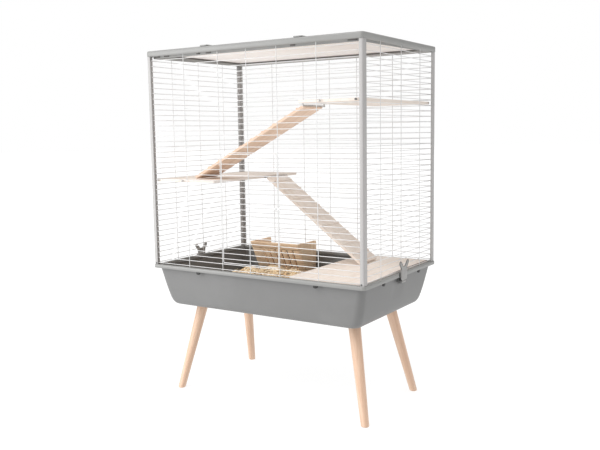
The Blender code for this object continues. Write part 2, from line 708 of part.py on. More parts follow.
def build_ramps():
    # foot centre lines stand half a board, measured square to the slope, above the shelf below
    build_ramp("ramp_upper", UPPER_ROD, -0.2360, MIDDLE_Z + SHELF_T + 0.0042, UPPER_RAMP_Y)
    build_ramp("ramp_lower", LOWER_ROD, 0.2250, PLATFORM_Z + SHELF_T + 0.0042, LOWER_RAMP_Y)
    for name, rod, span, ends in (("ramp_rod_upper", UPPER_ROD, UPPER_RAMP_Y, "up"),
                                  ("ramp_rod_lower", LOWER_ROD, LOWER_RAMP_Y, "side")):
        y0 = span[0] - 0.006
        y1 = span[1] + 0.006
        x, z = rod
        if ends == "up":
            path = ((x, y0, UPPER_Z - CLEAR), (x, y0, z), (x, y1, z), (x, y1, UPPER_Z - CLEAR))
        else:
            edge = MIDDLE_X[1] + CLEAR
            path = ((edge, y0, z), (x, y0, z), (x, y1, z), (edge, y1, z))
        add_piece(name, rod_mesh(path, ROD_R * 0.8, 8), "zinc", smooth=True)


build_ramps()


# ---------------------------------------------------------------- hay rack and bedding
def build_rack():
    """Standing hay rack against the back wall: slatted board, two cheeks, base and back rail."""
    foot = Vector(RACK_FOOT)
    head = Vector(RACK_HEAD)
    up = (head - foot).normalized()
    back = Vector((-up.y, up.x)) if up.y < 0 else Vector((up.y, -up.x))
    length = (head - foot).length
    width = RACK_X[1] - RACK_X[0]
    slots = []
    for i in range(RACK_SLOTS):
        x = (i - (RACK_SLOTS - 1) / 2.0) * RACK_SLOT_PITCH + RACK_SLOT_SHIFT
        ring = rounded_rect(0.0036, 0.0395, 0.0030, 2)
        slots.append([(x + u, length - 0.0645 + v) for u, v in ring])
    board = plate_mesh([(-width / 2.0, 0.0), (width / 2.0, 0.0), (width / 2.0, length),
                        (-width / 2.0, length)], RACK_BOARD, "xy", RACK_BOARD / 2.0, holes=slots)
    mid_x = (RACK_X[0] + RACK_X[1]) / 2.0
    board.transform(Matrix(((1.0, 0.0, 0.0, mid_x), (0.0, up.x, -back.x, foot.x + back.x * RACK_BOARD),
                            (0.0, up.y, -back.y, foot.y + back.y * RACK_BOARD), (0, 0, 0, 1))))
    tidy_mesh(board)
    lowest = min(v.co.z for v in board.vertices)
    board.transform(Matrix.Translation((0.0, 0.0, TUB_FLOOR_Z + CLEAR - lowest)))
    add_piece("rack_front", board, "rack_wood")
    shift = TUB_FLOOR_Z + CLEAR - lowest
    inner = foot + back * (RACK_BOARD + CLEAR) + Vector((0.0, shift))
    cheek = [inner + up * 0.006, Vector((0.2000, 0.3035)), Vector((0.2075, 0.3120)),
             Vector((0.2125, 0.3270)), Vector((0.2160, 0.3500)), Vector((0.2200, 0.3850)),
             Vector((0.2224, 0.4150)), Vector((0.2226, 0.4690)), Vector((0.2140, 0.4720)),
             inner + up * (length - 0.001)]
    for name, x0 in (("rack_cheek_left", RACK_X[0]), ("rack_cheek_right", RACK_X[1] - RACK_BOARD)):
        mesh = plate_mesh([(p.x, p.y) for p in cheek], RACK_BOARD, "yz", x0 + RACK_BOARD / 2.0)
        add_piece(name, mesh, "rack_wood")
    x_in = (RACK_X[0] + RACK_BOARD + CLEAR, RACK_X[1] - RACK_BOARD - CLEAR)
    base = [inner + up * 0.016, Vector((0.2070, inner.y + up.y * 0.016)),
            Vector((0.2085, inner.y + up.y * 0.016 + 0.006)),
            inner + up * 0.016 + Vector((up.x, up.y)) * (0.006 / up.y)]
    mesh = plate_mesh([(p.x, p.y) for p in base], x_in[1] - x_in[0], "yz", mid_x)
    add_piece("rack_base", mesh, "rack_wood")
    rail = block_mesh((x_in[0], 0.2040, 0.3720), (x_in[1], 0.2090, 0.4080), 0.0008, 1)
    add_piece("rack_back_rail", rail, "rack_wood")


def build_hay():
    """Loose heap of bedding on the tub floor, a lumpy mound closed underneath."""
    bm = bmesh.new()
    nx, ny = 12, 9
    bmesh.ops.create_grid(bm, x_segments=nx, y_segments=ny, size=1.0)
    floor_z = TUB_FLOOR_Z + CLEAR
    for v in bm.verts:
        u, w = v.co.x, v.co.y
        rad = min(1.0, math.hypot(u * 0.95, w * 0.95))
        ease = max(0.0, 1.0 - rad ** 5.0)
        bump = 0.006 * math.sin(7.1 * u + 2.3 * w) * math.cos(5.3 * w - 1.7 * u)
        v.co = (-0.060 + 0.165 * u, -0.055 + 0.138 * w, floor_z + 0.008 + (0.105 + bump) * ease)
    sheet = bpy.data.meshes.new("hay")
    out = bmesh.ops.extrude_face_region(bm, geom=list(bm.faces))
    for item in out["geom"]:
        if isinstance(item, bmesh.types.BMVert):
            item.co.z = floor_z
    bm.to_mesh(sheet)
    bm.free()
    tidy_mesh(sheet)
    return sheet


build_rack()
add_piece("hay_heap", build_hay(), "hay", smooth=True)


# ---------------------------------------------------------------- moving bodies
def hang_bodies():
    """Parent every moving piece so that its origin, or its parent empty, is on its joint axis."""
    parts = PARTS.objects
    cage = add_pivot("cage_body", (0.0, 0.0, BASE_Z0))
    rack = add_pivot("rack_body", ((RACK_X[0] + RACK_X[1]) / 2.0, RACK_FOOT[0], TUB_FLOOR_Z))
    roof = add_pivot("roof_body", (0.0,) + ROOF_AXIS)
    WORLD_OF["roof_body"] = tuple(roof.location)
    roof.parent = cage
    roof.location = roof.location - cage.location
    on_cage = ("base_frame", "post_", "top_frame", "grille_", "shelf_", "ramp_rod_")
    for obj in list(parts):
        if obj.type != "MESH":
            continue
        if obj.name.startswith(on_cage):
            hang(obj, cage)
        elif obj.name.startswith("rack_"):
            hang(obj, rack)
        elif obj.name in ("roof_board", "roof_hinge_left", "roof_hinge_right"):
            hang(obj, roof)
    latch_z = row_z(11) + ROW_PITCH / 2.0
    door_z = (row_z(DOOR_ROW0) + row_z(DOOR_ROW1)) / 2.0
    hang(parts["door"], cage, (-0.108, -WIRE_PLANE_Y, door_z))
    hang(parts["door_latch"], parts["door"], (DOOR_CATCH_X, -0.2407, latch_z))
    for side, name in ((-1.0, "left"), (1.0, "right")):
        hang(parts["latch_" + name], None, (side * LATCH_AXIS_X, 0.0, LATCH_AXIS_Z))
        button_x = side * ROOF_CLIP_X + ROOF_BUTTON_SHIFT
        hang(parts["roof_button_" + name], roof, (button_x, ROOF_BUTTON_Y, TOP_Z))
    upper_y = (UPPER_RAMP_Y[0] + UPPER_RAMP_Y[1]) / 2.0
    lower_y = (LOWER_RAMP_Y[0] + LOWER_RAMP_Y[1]) / 2.0
    hang(parts["ramp_upper"], cage, (UPPER_ROD[0], upper_y, UPPER_ROD[1]))
    hang(parts["ramp_lower"], cage, (LOWER_ROD[0], lower_y, LOWER_ROD[1]))


hang_bodies()
CUTTERS.hide_render = True
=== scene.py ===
"""Looks for the wire small-animal hutch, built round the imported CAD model.

Metres, Z up, front is -Y.  Sizes come from the CAD boxes.  Every plastic, wire, wood and
metal piece is modelled here with its rounded edges, and stands for the CAD node it matches.
"""
import math
import random

import bmesh
import bpy
from mathutils import Matrix, Vector


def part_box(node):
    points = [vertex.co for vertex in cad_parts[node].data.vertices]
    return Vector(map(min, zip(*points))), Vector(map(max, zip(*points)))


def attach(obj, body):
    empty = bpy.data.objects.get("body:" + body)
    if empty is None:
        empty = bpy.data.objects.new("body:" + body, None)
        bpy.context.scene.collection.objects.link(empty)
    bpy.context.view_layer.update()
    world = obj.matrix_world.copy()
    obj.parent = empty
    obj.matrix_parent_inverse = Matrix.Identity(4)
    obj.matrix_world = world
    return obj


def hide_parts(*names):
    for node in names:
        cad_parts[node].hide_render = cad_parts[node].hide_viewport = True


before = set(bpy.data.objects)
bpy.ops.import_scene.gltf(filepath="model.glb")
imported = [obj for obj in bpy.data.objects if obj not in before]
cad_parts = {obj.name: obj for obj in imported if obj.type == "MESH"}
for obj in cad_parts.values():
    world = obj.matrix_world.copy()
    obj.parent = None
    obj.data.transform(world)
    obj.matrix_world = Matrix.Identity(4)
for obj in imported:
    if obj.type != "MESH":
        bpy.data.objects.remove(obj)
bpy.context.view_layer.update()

BOX = {name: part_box(name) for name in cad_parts}

# ---------------------------------------------------------------- driving sizes
WIRE_R = 0.0010           # horizontal wires
UPRIGHT_R = 0.0011        # upright wires, welded on the outside of the horizontals
ROW_PITCH = 0.0172
ROWS = 39
DOOR_ROWS = (1, 21)       # rows that border the doorway
LONG_UPRIGHTS = (-0.242, -0.108, 0.0, 0.108, 0.242)
SHORT_UPRIGHTS = (-0.134, 0.0, 0.134)
DOOR_EDGE = 0.1035        # half width of the door
RUNG_PITCH = 0.047
RACK_SLOTS = 6
SLOT_PITCH = 0.0246
SLOT_SHIFT = 0.0085       # the row of slots sits right of the middle
TABS_ALONG_X = (-0.203, 0.234)   # snap slots under the front and back rims
TABS_ALONG_Y = (-0.126, 0.119)   # and under the two short ones
CATCH_AXIS = (0.3935, 0.4050)    # X and Z of the side catches' pins
FRAME_CORNER = 0.011             # corner radius of the upper and lower mouldings
ROOF_AXIS = (0.2395, 1.1237)     # Y and Z of the roof hinge pins
UPPER_ROD = (0.1790, 0.9325)     # X and Z of the rods that carry the ramps
LOWER_ROD = (-0.1305, 0.7070)
RACK_FOOT = Vector((0.0, 0.1885, 0.2990))   # lower and upper end of the slatted board
RACK_HEAD = Vector((0.0, 0.1000, 0.4700))
RACK_T = 0.0060
PANEL_AT = Vector((-1.8, -2.1, 0.9))        # light panel; shades the front from left to right
PANEL_AIM = Vector((-0.1, 0.0, 0.4))
HAY_STRANDS = 2300
HAY_LOWER = 0.012         # the loose heap settles this far below the solid mound
HAY_REACH = 0.030         # and spreads this far past it on the left


# ---------------------------------------------------------------- node materials
def link_in(tree, socket, value):
    """Set a socket to a plain value, or link another node's output to it."""
    if isinstance(value, bpy.types.NodeSocket):
        tree.links.new(value, socket)
    else:
        socket.default_value = value


def node(tree, kind, settings=None, **inputs):
    """Add a shader node; keyword names are input names with _ for a space, or i0, i1 ..."""
    made = tree.nodes.new("ShaderNode" + kind)
    for key, value in (settings or {}).items():
        setattr(made, key, value)
    for key, value in inputs.items():
        if key[0] == "i" and key[1:].isdigit():
            link_in(tree, made.inputs[int(key[1:])], value)
        else:
            link_in(tree, made.inputs[key.replace("_", " ")], value)
    return made


def ramp(tree, fac, stops):
    """Colour ramp through (position, (r, g, b)) stops."""
    made = node(tree, "ValToRGB", Fac=fac)
    bar = made.color_ramp
    while len(bar.elements) < len(stops):
        bar.elements.new(0.5)
    for element, (place, colour) in zip(bar.elements, stops):
        element.position = place
        element.color = (*colour, 1.0)
    return made.outputs["Color"]


def stretched(tree, scale):
    """Object coordinates, stretched by a scale on each axis."""
    coords = tree.nodes.new("ShaderNodeTexCoord").outputs["Object"]
    return node(tree, "Mapping", Vector=coords, Scale=scale).outputs["Vector"]


def noise(tree, vector, scale, detail=3.0, rough=0.5, distort=0.0):
    """Noise from 0 to 1 over the given coordinates."""
    made = node(tree, "TexNoise", Vector=vector, Scale=scale, Detail=detail,
                Roughness=rough, Distortion=distort)
    return made.outputs["Fac"]


def maths(tree, operation, *values):
    """Result of a maths node on its inputs in order."""
    made = node(tree, "Math", {"operation": operation})
    for socket, value in zip(made.inputs, values):
        link_in(tree, socket, value)
    return made.outputs[0]


def start_material(name):
    """New material, its node tree and its Principled shader."""
    mat = bpy.data.materials.new(name)
    mat.use_nodes = True
    tree = mat.node_tree
    return mat, tree, tree.nodes["Principled BSDF"]


def dress(tree, bsdf, colour, rough_by, rough, height, strength, distance):
    """Drive a shader's colour, its roughness between two values, and its bump."""
    link_in(tree, bsdf.inputs["Base Color"], colour)
    spread = node(tree, "MapRange", Value=rough_by, To_Min=rough[0], To_Max=rough[1])
    link_in(tree, bsdf.inputs["Roughness"], spread.outputs["Result"])
    bump = node(tree, "Bump", Strength=strength, Distance=distance, Height=height)
    link_in(tree, bsdf.inputs["Normal"], bump.outputs["Normal"])


def moulded_plastic(name, dark, light, rough=(0.40, 0.52), grain=0.12, grain_scale=900.0):
    """Moulded plastic: soft flow variation, fine speckle and a fine eroded skin."""
    mat, tree, bsdf = start_material(name)
    plain = stretched(tree, (1.0, 1.0, 1.0))
    flow = noise(tree, plain, 7.0, 4.0, 0.55, 0.6)
    speck = noise(tree, plain, grain_scale, 2.0)
    tone = maths(tree, "SUBTRACT", maths(tree, "MULTIPLY_ADD", speck, 0.35, flow), 0.175)
    colour = ramp(tree, tone, ((0.25, dark), (0.75, light)))
    dress(tree, bsdf, colour, flow, rough, speck, grain, 0.0003)
    return mat


def coated_wire(name, dark, light):
    """Powder-coated wire: slightly uneven white coat with a soft gloss."""
    mat, tree, bsdf = start_material(name)
    plain = stretched(tree, (1.0, 1.0, 1.0))
    drift = noise(tree, plain, 60.0, 3.0)
    coat = noise(tree, plain, 1500.0, 1.0)
    bsdf.inputs["Coat Weight"].default_value = 0.35
    bsdf.inputs["Coat Roughness"].default_value = 0.2
    colour = ramp(tree, drift, ((0.3, dark), (0.7, light)))
    dress(tree, bsdf, colour, coat, (0.26, 0.42), coat, 0.10, 0.0002)
    return mat


def wood(name, pale, mid, deep, rings=26.0, fibre=420.0, rough=(0.50, 0.66), contrast=1.0):
    """Sawn wood with its grain along local X: growth bands, fibres, pores and a waxed skin."""
    mat, tree, bsdf = start_material(name)
    long_way = stretched(tree, (1.6, rings, rings * 0.6))
    warp = noise(tree, long_way, 1.0, 3.0, 0.5, 1.4)
    waves = maths(tree, "MULTIPLY", warp, 7.0)
    band = maths(tree, "PINGPONG", waves, 1.0)
    fine = noise(tree, stretched(tree, (9.0, fibre, fibre)), 1.0, 4.0, 0.6)
    pores = noise(tree, stretched(tree, (40.0, fibre * 2.2, fibre * 2.2)), 1.0, 2.0)
    blotch = noise(tree, stretched(tree, (3.0, 11.0, 11.0)), 1.0, 3.0)
    tone = maths(tree, "MULTIPLY", blotch, 0.5)
    tone = maths(tree, "MULTIPLY_ADD", fine, 0.55 * contrast, tone)
    tone = maths(tree, "MULTIPLY_ADD", band, 0.42 * contrast, tone)
    colour = ramp(tree, tone, ((0.22, pale), (0.58, mid), (0.98, deep)))
    dots = ramp(tree, pores, ((0.60, (1.0, 1.0, 1.0)), (0.80, (0.80, 0.70, 0.60))))
    mix = node(tree, "Mix", {"data_type": "RGBA", "blend_type": "MULTIPLY"},
               Factor=0.55, i6=colour, i7=dots)
    height = maths(tree, "MULTIPLY_ADD", pores, -0.5, fine)
    dress(tree, bsdf, mix.outputs[2], fine, rough, height, 0.22, 0.0003)
    return mat


def plated_steel(name, dark, light, rough=(0.28, 0.46)):
    """Zinc-plated steel with drawn streaks and faint spangle."""
    mat, tree, bsdf = start_material(name)
    bsdf.inputs["Metallic"].default_value = 1.0
    spangle = noise(tree, stretched(tree, (1.0, 1.0, 1.0)), 260.0, 2.0)
    streak = noise(tree, stretched(tree, (900.0, 60.0, 900.0)), 1.0, 2.0)
    colour = ramp(tree, spangle, ((0.35, dark), (0.7, light)))
    dress(tree, bsdf, colour, streak, rough, streak, 0.12, 0.0002)
    return mat


def loose_fibre(name, stops):
    """Dry bedding: every strand has a tone of its own, with fine streaks along it."""
    mat, tree, bsdf = start_material(name)
    geo = tree.nodes.new("ShaderNodeNewGeometry")
    streak = noise(tree, stretched(tree, (1.0, 1.0, 1.0)), 420.0, 3.0)
    own = maths(tree, "MULTIPLY", geo.outputs["Random Per Island"], 0.8)
    tone = maths(tree, "MULTIPLY_ADD", streak, 0.35, own)
    dress(tree, bsdf, ramp(tree, tone, stops), streak, (0.6, 0.85), streak, 0.3, 0.0004)
    return mat


TUB_PLASTIC = moulded_plastic("tub_plastic", (0.186, 0.186, 0.185), (0.214, 0.214, 0.212))
RAIL_PLASTIC = moulded_plastic("rail_plastic", (0.275, 0.275, 0.268), (0.310, 0.310, 0.301),
                               (0.34, 0.46), 0.08)
POST_PLASTIC = moulded_plastic("post_plastic", (0.405, 0.396, 0.392), (0.450, 0.440, 0.435),
                               (0.34, 0.46), 0.08)
CATCH_PLASTIC = moulded_plastic("catch_plastic", (0.300, 0.295, 0.288), (0.350, 0.343, 0.335),
                                (0.30, 0.42), 0.08)
CATCH_EDGE = moulded_plastic("catch_edge", (0.120, 0.110, 0.100), (0.160, 0.148, 0.135),
                             (0.30, 0.42), 0.08)
# near-black plastic; under the rim it is painted shade for the snap slots
DARK_PLASTIC = moulded_plastic("dark_plastic", (0.014, 0.014, 0.014), (0.022, 0.021, 0.020))
# near-black for the ledge strip and the slot marks under the upper frame: painted shade
PAINTED_SHADE_DARK = moulded_plastic("painted_shade_dark", (0.110, 0.105, 0.100), (0.150, 0.143, 0.137),
                              (0.6, 0.75), 0.10)
PLATE_PLASTIC = moulded_plastic("plate_plastic", (0.16, 0.16, 0.158), (0.20, 0.20, 0.196))
WIRE_COAT = coated_wire("wire_coat", (0.71, 0.71, 0.71), (0.78, 0.78, 0.78))
PALE_WOOD = wood("pale_wood", (0.880, 0.810, 0.755), (0.850, 0.765, 0.695), (0.770, 0.650, 0.555),
                 contrast=0.70)
# paler copy of the shelf wood for the roof's underside and edges: painted light that lifts them out
# of their shade
ROOF_PAINTED_LIGHT_WOOD = wood("roof_painted_light_wood", (0.960, 0.925, 0.900), (0.935, 0.890, 0.860), (0.860, 0.800, 0.755),
                 contrast=0.65)
# darker copy of the pale wood for the upper ramp, whose underside shows: painted shade
RAMP_PAINTED_SHADE_WOOD = wood("ramp_painted_shade_wood", (0.900, 0.720, 0.590), (0.850, 0.640, 0.500), (0.720, 0.500, 0.360),
                contrast=0.85)
BEECH = wood("beech", (0.800, 0.590, 0.450), (0.745, 0.520, 0.380), (0.630, 0.405, 0.275),
             rings=60.0, fibre=620.0, rough=(0.36, 0.50), contrast=0.8)
RACK_WOOD = wood("rack_wood", (0.985, 0.780, 0.575), (0.960, 0.720, 0.500), (0.850, 0.570, 0.360),
                 rings=44.0, fibre=520.0, contrast=0.80)
RIM_WOOD = wood("rim_wood", (0.230, 0.130, 0.080), (0.170, 0.090, 0.055), (0.110, 0.055, 0.035))
STEEL = plated_steel("plated_steel", (0.42, 0.41, 0.40), (0.58, 0.57, 0.56))
DARK_STEEL = plated_steel("dark_steel", (0.13, 0.13, 0.13), (0.22, 0.22, 0.22))
BEDDING = loose_fibre("bedding", ((0.1, (0.74, 0.46, 0.22)), (0.45, (0.92, 0.70, 0.43)),
                                  (0.9, (0.96, 0.86, 0.66))))
DEEP_BEDDING = loose_fibre("deep_bedding", ((0.1, (0.40, 0.23, 0.10)), (0.9, (0.66, 0.44, 0.23))))


# ---------------------------------------------------------------- mesh helpers
def facing_front(x, y, z):
    """Frame at a point whose local XY is the world's XZ, local Z towards the front."""
    return Matrix(((1, 0, 0, x), (0, 0, -1, y), (0, 1, 0, z), (0, 0, 0, 1)))


def facing_side(x, y, z):
    """Frame at a point whose local XY is the world's YZ, local Z towards +X."""
    return Matrix(((0, 0, 1, x), (1, 0, 0, y), (0, 1, 0, z), (0, 0, 0, 1)))


def arc_points(x, y, rx, ry, start, sweep, steps):
    """steps + 1 points on an arc round (x, y), angles in degrees."""
    turns = [math.radians(start + sweep * i / steps) for i in range(steps + 1)]
    return [(x + rx * math.cos(a), y + ry * math.sin(a)) for a in turns]


def corner_ring(hx, hy, radius, arc):
    """Counter-clockwise rounded rectangle with arc + 1 points on each corner."""
    ring = []
    for sx, sy, start in ((1, 1, 0.0), (-1, 1, 90.0), (-1, -1, 180.0), (1, -1, 270.0)):
        ring += arc_points(sx * (hx - radius), sy * (hy - radius), radius, radius, start, 90.0, arc)
    return ring


def skin(bm, rings, capped=True, closed=False):
    """Quads between rings of equal point count; capped fills the ends, closed joins them."""
    loops = [[bm.verts.new(co) for co in ring] for ring in rings]
    pairs = list(zip(loops, loops[1:]))
    if closed:
        pairs.append((loops[-1], loops[0]))
    for low, high in pairs:
        for i in range(len(low)):
            j = (i + 1) % len(low)
            bm.faces.new((low[i], low[j], high[j], high[i]))
    if capped and not closed:
        bm.faces.new(loops[0])
        bm.faces.new(loops[-1])


def block(bm, lo, hi, bevel=0.0, segments=3):
    """Box between two corners with rounded edges."""
    made = bmesh.ops.create_cube(bm, size=1.0)["verts"]
    for v in made:
        for i in range(3):
            v.co[i] = lo[i] + (v.co[i] + 0.5) * (hi[i] - lo[i])
    if bevel > 0.0:
        edges = list(dict.fromkeys(e for v in made for e in v.link_edges))
        bmesh.ops.bevel(bm, geom=edges, offset=bevel, segments=segments, profile=0.5,
                        affect="EDGES")


def prism(bm, outline, depth, place, bevel=0.0, segments=2):
    """Outline in local XY pushed depth along local Z, set by a matrix, its rims rounded."""
    low = [bm.verts.new((x, y, -depth / 2.0)) for x, y in outline]
    high = [bm.verts.new((x, y, depth / 2.0)) for x, y in outline]
    n = len(outline)
    for i in range(n):
        j = (i + 1) % n
        bm.faces.new((low[i], low[j], high[j], high[i]))
    rims = (bm.faces.new(list(reversed(low))), bm.faces.new(high))
    made = low + high
    if bevel > 0.0:
        edges = list(dict.fromkeys(e for f in rims for e in f.edges))
        result = bmesh.ops.bevel(bm, geom=edges, offset=bevel, segments=segments, profile=0.5,
                                 affect="EDGES")
        kept = [v for v in made if v.is_valid]
        made = list(dict.fromkeys(list(result["verts"]) + kept))
    bmesh.ops.transform(bm, matrix=place, verts=made)


def lathe(bm, profile, steps, centre, axis, bored=False):
    """(radius, height) profile swung round an axis; radius 0 closes the ends, bored leaves a hole."""
    turn = Vector((0, 0, 1)).rotation_difference(Vector(axis)).to_matrix()
    angles = [math.tau * i / steps for i in range(steps)]
    rings = []
    for r, h in profile:
        r = max(r, 1e-5)
        rings.append([Vector(centre) + turn @ Vector((r * math.cos(a), r * math.sin(a), h))
                      for a in angles])
    skin(bm, rings, closed=bored)


def rounded_path(points, radius, steps=5):
    """Polyline with each inner corner eased by a short curve."""
    path = [Vector(points[0])]
    for before, here, after in zip(points, points[1:], points[2:]):
        here = Vector(here)
        into = Vector(before) - here
        away = Vector(after) - here
        reach = min(radius, into.length * 0.45, away.length * 0.45)
        a = here + into.normalized() * reach
        b = here + away.normalized() * reach
        for i in range(steps + 1):
            t = i / steps
            path.append(a * (1 - t) ** 2 + here * 2 * t * (1 - t) + b * t ** 2)
    path.append(Vector(points[-1]))
    return path


def tube(bm, points, radius, sides=10):
    """Round wire through the points, its ends slightly rounded."""
    pts = [Vector(p) for p in points]
    first = (pts[1] - pts[0]).normalized()
    side = first.orthogonal().normalized()
    rings = []
    before = first
    for k, p in enumerate(pts):
        ahead = (pts[min(k + 1, len(pts) - 1)] - pts[max(k - 1, 0)]).normalized()
        side = before.rotation_difference(ahead) @ side
        before = ahead
        up = ahead.cross(side)
        rings.append([p + (side * math.cos(math.tau * i / sides)
                           + up * math.sin(math.tau * i / sides)) * radius
                      for i in range(sides)])
    ends = []
    for p, way, ring in ((pts[0], -first, rings[0]), (pts[-1], before, rings[-1])):
        ends.append([p + (q - p) * 0.6 + way * radius * 0.5 for q in ring])
    skin(bm, [ends[0]] + rings + [ends[1]])


def piece(name, bm, material, body, replaces=(), place=None, sharp=35.0):
    """Finish a bmesh as a piece on a CAD body; place is its own frame, the grain along its X."""
    bmesh.ops.recalc_face_normals(bm, faces=bm.faces)
    mesh = bpy.data.meshes.new(name)
    bm.to_mesh(mesh)
    bm.free()
    mesh.shade_smooth()
    mesh.set_sharp_from_angle(angle=math.radians(sharp))
    mesh.materials.append(material)
    obj = bpy.data.objects.new(name, mesh)
    bpy.context.scene.collection.objects.link(obj)
    if place is not None:
        mesh.transform(place.inverted())
        obj.matrix_world = place
    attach(obj, body)
    if replaces:
        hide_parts(*replaces)
    return obj


# frames that lay a piece's grain along Y or Z; without one it runs along X
GRAIN_Y = Matrix.Rotation(math.radians(90.0), 4, "Z")
GRAIN_Z = Matrix.Rotation(math.radians(-90.0), 4, "Y")


# ---------------------------------------------------------------- tub
def pocket_depth(x, y, z, side_x):
    """How far the tub wall is drawn in round a side catch."""
    if abs(x) < side_x * 0.9 or abs(y) > 0.05:
        return 0.0
    across = max(0.0, 1.0 - (abs(y) / 0.034) ** 6)
    below = min(1.0, max(0.0, (z - 0.352) / 0.020))
    return 0.0022 * across * below * below * (3.0 - 2.0 * below)


def build_tub():
    """Moulded tub: bellied wall, tight corners, stepped rim and a sunk floor panel."""
    outside = ((0.2955, 0.3370, 0.1995, 0.020), (0.2958, 0.3398, 0.2020, 0.021),
               (0.2970, 0.3440, 0.2055, 0.022), (0.2990, 0.3477, 0.2086, 0.023),
               (0.3015, 0.3505, 0.2110, 0.024), (0.3055, 0.3538, 0.2138, 0.0245),
               (0.3110, 0.3570, 0.2160, 0.025), (0.3190, 0.3603, 0.2181, 0.025),
               (0.3280, 0.3630, 0.2200, 0.025), (0.3400, 0.3664, 0.2223, 0.025),
               (0.3520, 0.3695, 0.2245, 0.025), (0.3680, 0.3731, 0.2272, 0.0245),
               (0.3850, 0.3765, 0.2300, 0.024), (0.4020, 0.3799, 0.2326, 0.023),
               (0.4150, 0.3823, 0.2345, 0.022), (0.4185, 0.3830, 0.2350, 0.022),
               (0.4200, 0.3840, 0.2360, 0.020), (0.4202, 0.3882, 0.2417, 0.012),
               (0.4208, 0.3890, 0.2425, 0.012), (0.4240, 0.3890, 0.2425, 0.012),
               (0.4245, 0.3884, 0.2419, 0.012))
    inside = ((0.4245, 0.3751, 0.2291, 0.018), (0.4240, 0.3745, 0.2285, 0.018),
              (0.4205, 0.3745, 0.2285, 0.018), (0.4175, 0.3798, 0.2318, 0.020),
              (0.4000, 0.3765, 0.2294, 0.0205), (0.3850, 0.3735, 0.2270, 0.021),
              (0.3680, 0.3701, 0.2243, 0.0215), (0.3520, 0.3663, 0.2213, 0.022),
              (0.3400, 0.3632, 0.2193, 0.022), (0.3295, 0.3599, 0.2169, 0.022),
              (0.3210, 0.3571, 0.2151, 0.0215), (0.3140, 0.3541, 0.2131, 0.021),
              (0.3090, 0.3510, 0.2110, 0.020), (0.3050, 0.3475, 0.2084, 0.019),
              (0.3023, 0.3443, 0.2058, 0.018), (0.3005, 0.3410, 0.2030, 0.017),
              (0.2992, 0.3375, 0.2000, 0.015), (0.2987, 0.3350, 0.1980, 0.014))
    bm = bmesh.new()
    rings = []
    for z, hx, hy, r in outside + inside:
        ring = []
        plan = corner_ring(hx, hy, r, 10)
        dense = []
        for k, (x, y) in enumerate(plan):
            dense.append((x, y))
            nx, ny = plan[(k + 1) % len(plan)]
            if abs(x - nx) < 1e-6 and abs(y - ny) > 0.1:
                dense.extend((x, y + (ny - y) * i / 40.0) for i in range(1, 40))
        for x, y in dense:
            dip = pocket_depth(x, y, z, hx) if z < 0.4195 else 0.0
            ring.append((x - math.copysign(dip, x), y, z))
        rings.append(ring)
    skin(bm, rings)
    piece("tub_shell", bm, TUB_PLASTIC, "stand", ("tub",), sharp=50.0)


def build_rim_slots():
    """Near-black marks under the rim, two on each side: painted shade for the shaded snap slots."""
    outer = BOX["base_frame"][1]
    half = 0.0076
    z = 0.4203 - 0.0040
    shape = [(-half, 0.0038), (half, 0.0038)] + arc_points(0.0, -0.0008, half, 0.0040, 0.0, -180.0, 8)
    for label, sx, sy, points in (("front", 0, -1, TABS_ALONG_X), ("back", 0, 1, TABS_ALONG_X),
                                  ("left", -1, 0, TABS_ALONG_Y), ("right", 1, 0, TABS_ALONG_Y)):
        for k, t in enumerate(points):
            if sy:
                place = facing_front(t, sy * (outer.y - 0.0022), z)
            else:
                place = facing_side(sx * (outer.x - 0.0022), t, z)
            bm = bmesh.new()
            prism(bm, shape, 0.0030, place, 0.0004)
            # near-black plastic where the slot's shade falls: painted shade
            piece("snap_slot_shade_%s_%d" % (label, k), bm, DARK_PLASTIC, "cage")


# ---------------------------------------------------------------- legs
def build_legs():
    """Turned tapered legs, cut level at the floor, each under a screwed plate."""
    for name in ("front_left", "front_right", "back_left", "back_right"):
        co = [v.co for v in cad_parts["leg_" + name].data.vertices]
        low = [p for p in co if p.z < 0.0006]
        high = [p for p in co if p.z > BOX["leg_" + name][1].z - 0.0003]
        foot = sum(low, Vector()) / len(low)
        head = sum(high, Vector()) / len(high)
        foot.z = 0.0
        way = (head - foot).normalized()
        turn = Vector((1, 0, 0)).rotation_difference(way).to_matrix().to_4x4()
        place = Matrix.Translation(head) @ turn
        bm = bmesh.new()
        rings = []
        levels = [(0.0, 0.0106), (0.0005, 0.0113), (0.0014, 0.0119), (0.0030, 0.0123)]
        levels += [(0.02 + 0.03 * i, 0.0125 + 0.0064 * ((0.02 + 0.03 * i) / 0.29) ** 1.1)
                   for i in range(9)]
        levels += [(head.z - 0.0016, 0.0190), (head.z - 0.0005, 0.0186), (head.z, 0.0179)]
        for z, r in levels:
            mid = foot + (head - foot) * (z / head.z)
            rings.append([(mid.x + r * math.cos(math.tau * i / 48),
                           mid.y + r * math.sin(math.tau * i / 48), z) for i in range(48)])
        skin(bm, rings)
        piece("leg_turned_" + name, bm, BEECH, "stand", ("leg_" + name,), place, 40.0)

        lo, hi = BOX["leg_plate_" + name]
        mid = (lo + hi) / 2.0
        bm = bmesh.new()
        prism(bm, corner_ring(0.024, 0.024, 0.007, 6), hi.z - lo.z, Matrix.Translation(mid), 0.0007)
        piece("leg_plate_pad_" + name, bm, PLATE_PLASTIC, "stand",
              ("leg_plate_" + name,))
        bm = bmesh.new()
        for sx in (-1, 1):
            for sy in (-1, 1):
                centre = (mid.x + sx * 0.0185, mid.y + sy * 0.0185, lo.z)
                lathe(bm, ((0.0, -0.0017), (0.0012, -0.0016), (0.0024, -0.0010), (0.0030, 0.0),
                           (0.0030, 0.0005), (0.0, 0.0005)), 16, centre, (0, 0, 1))
        piece("leg_plate_screws_" + name, bm, STEEL, "stand")


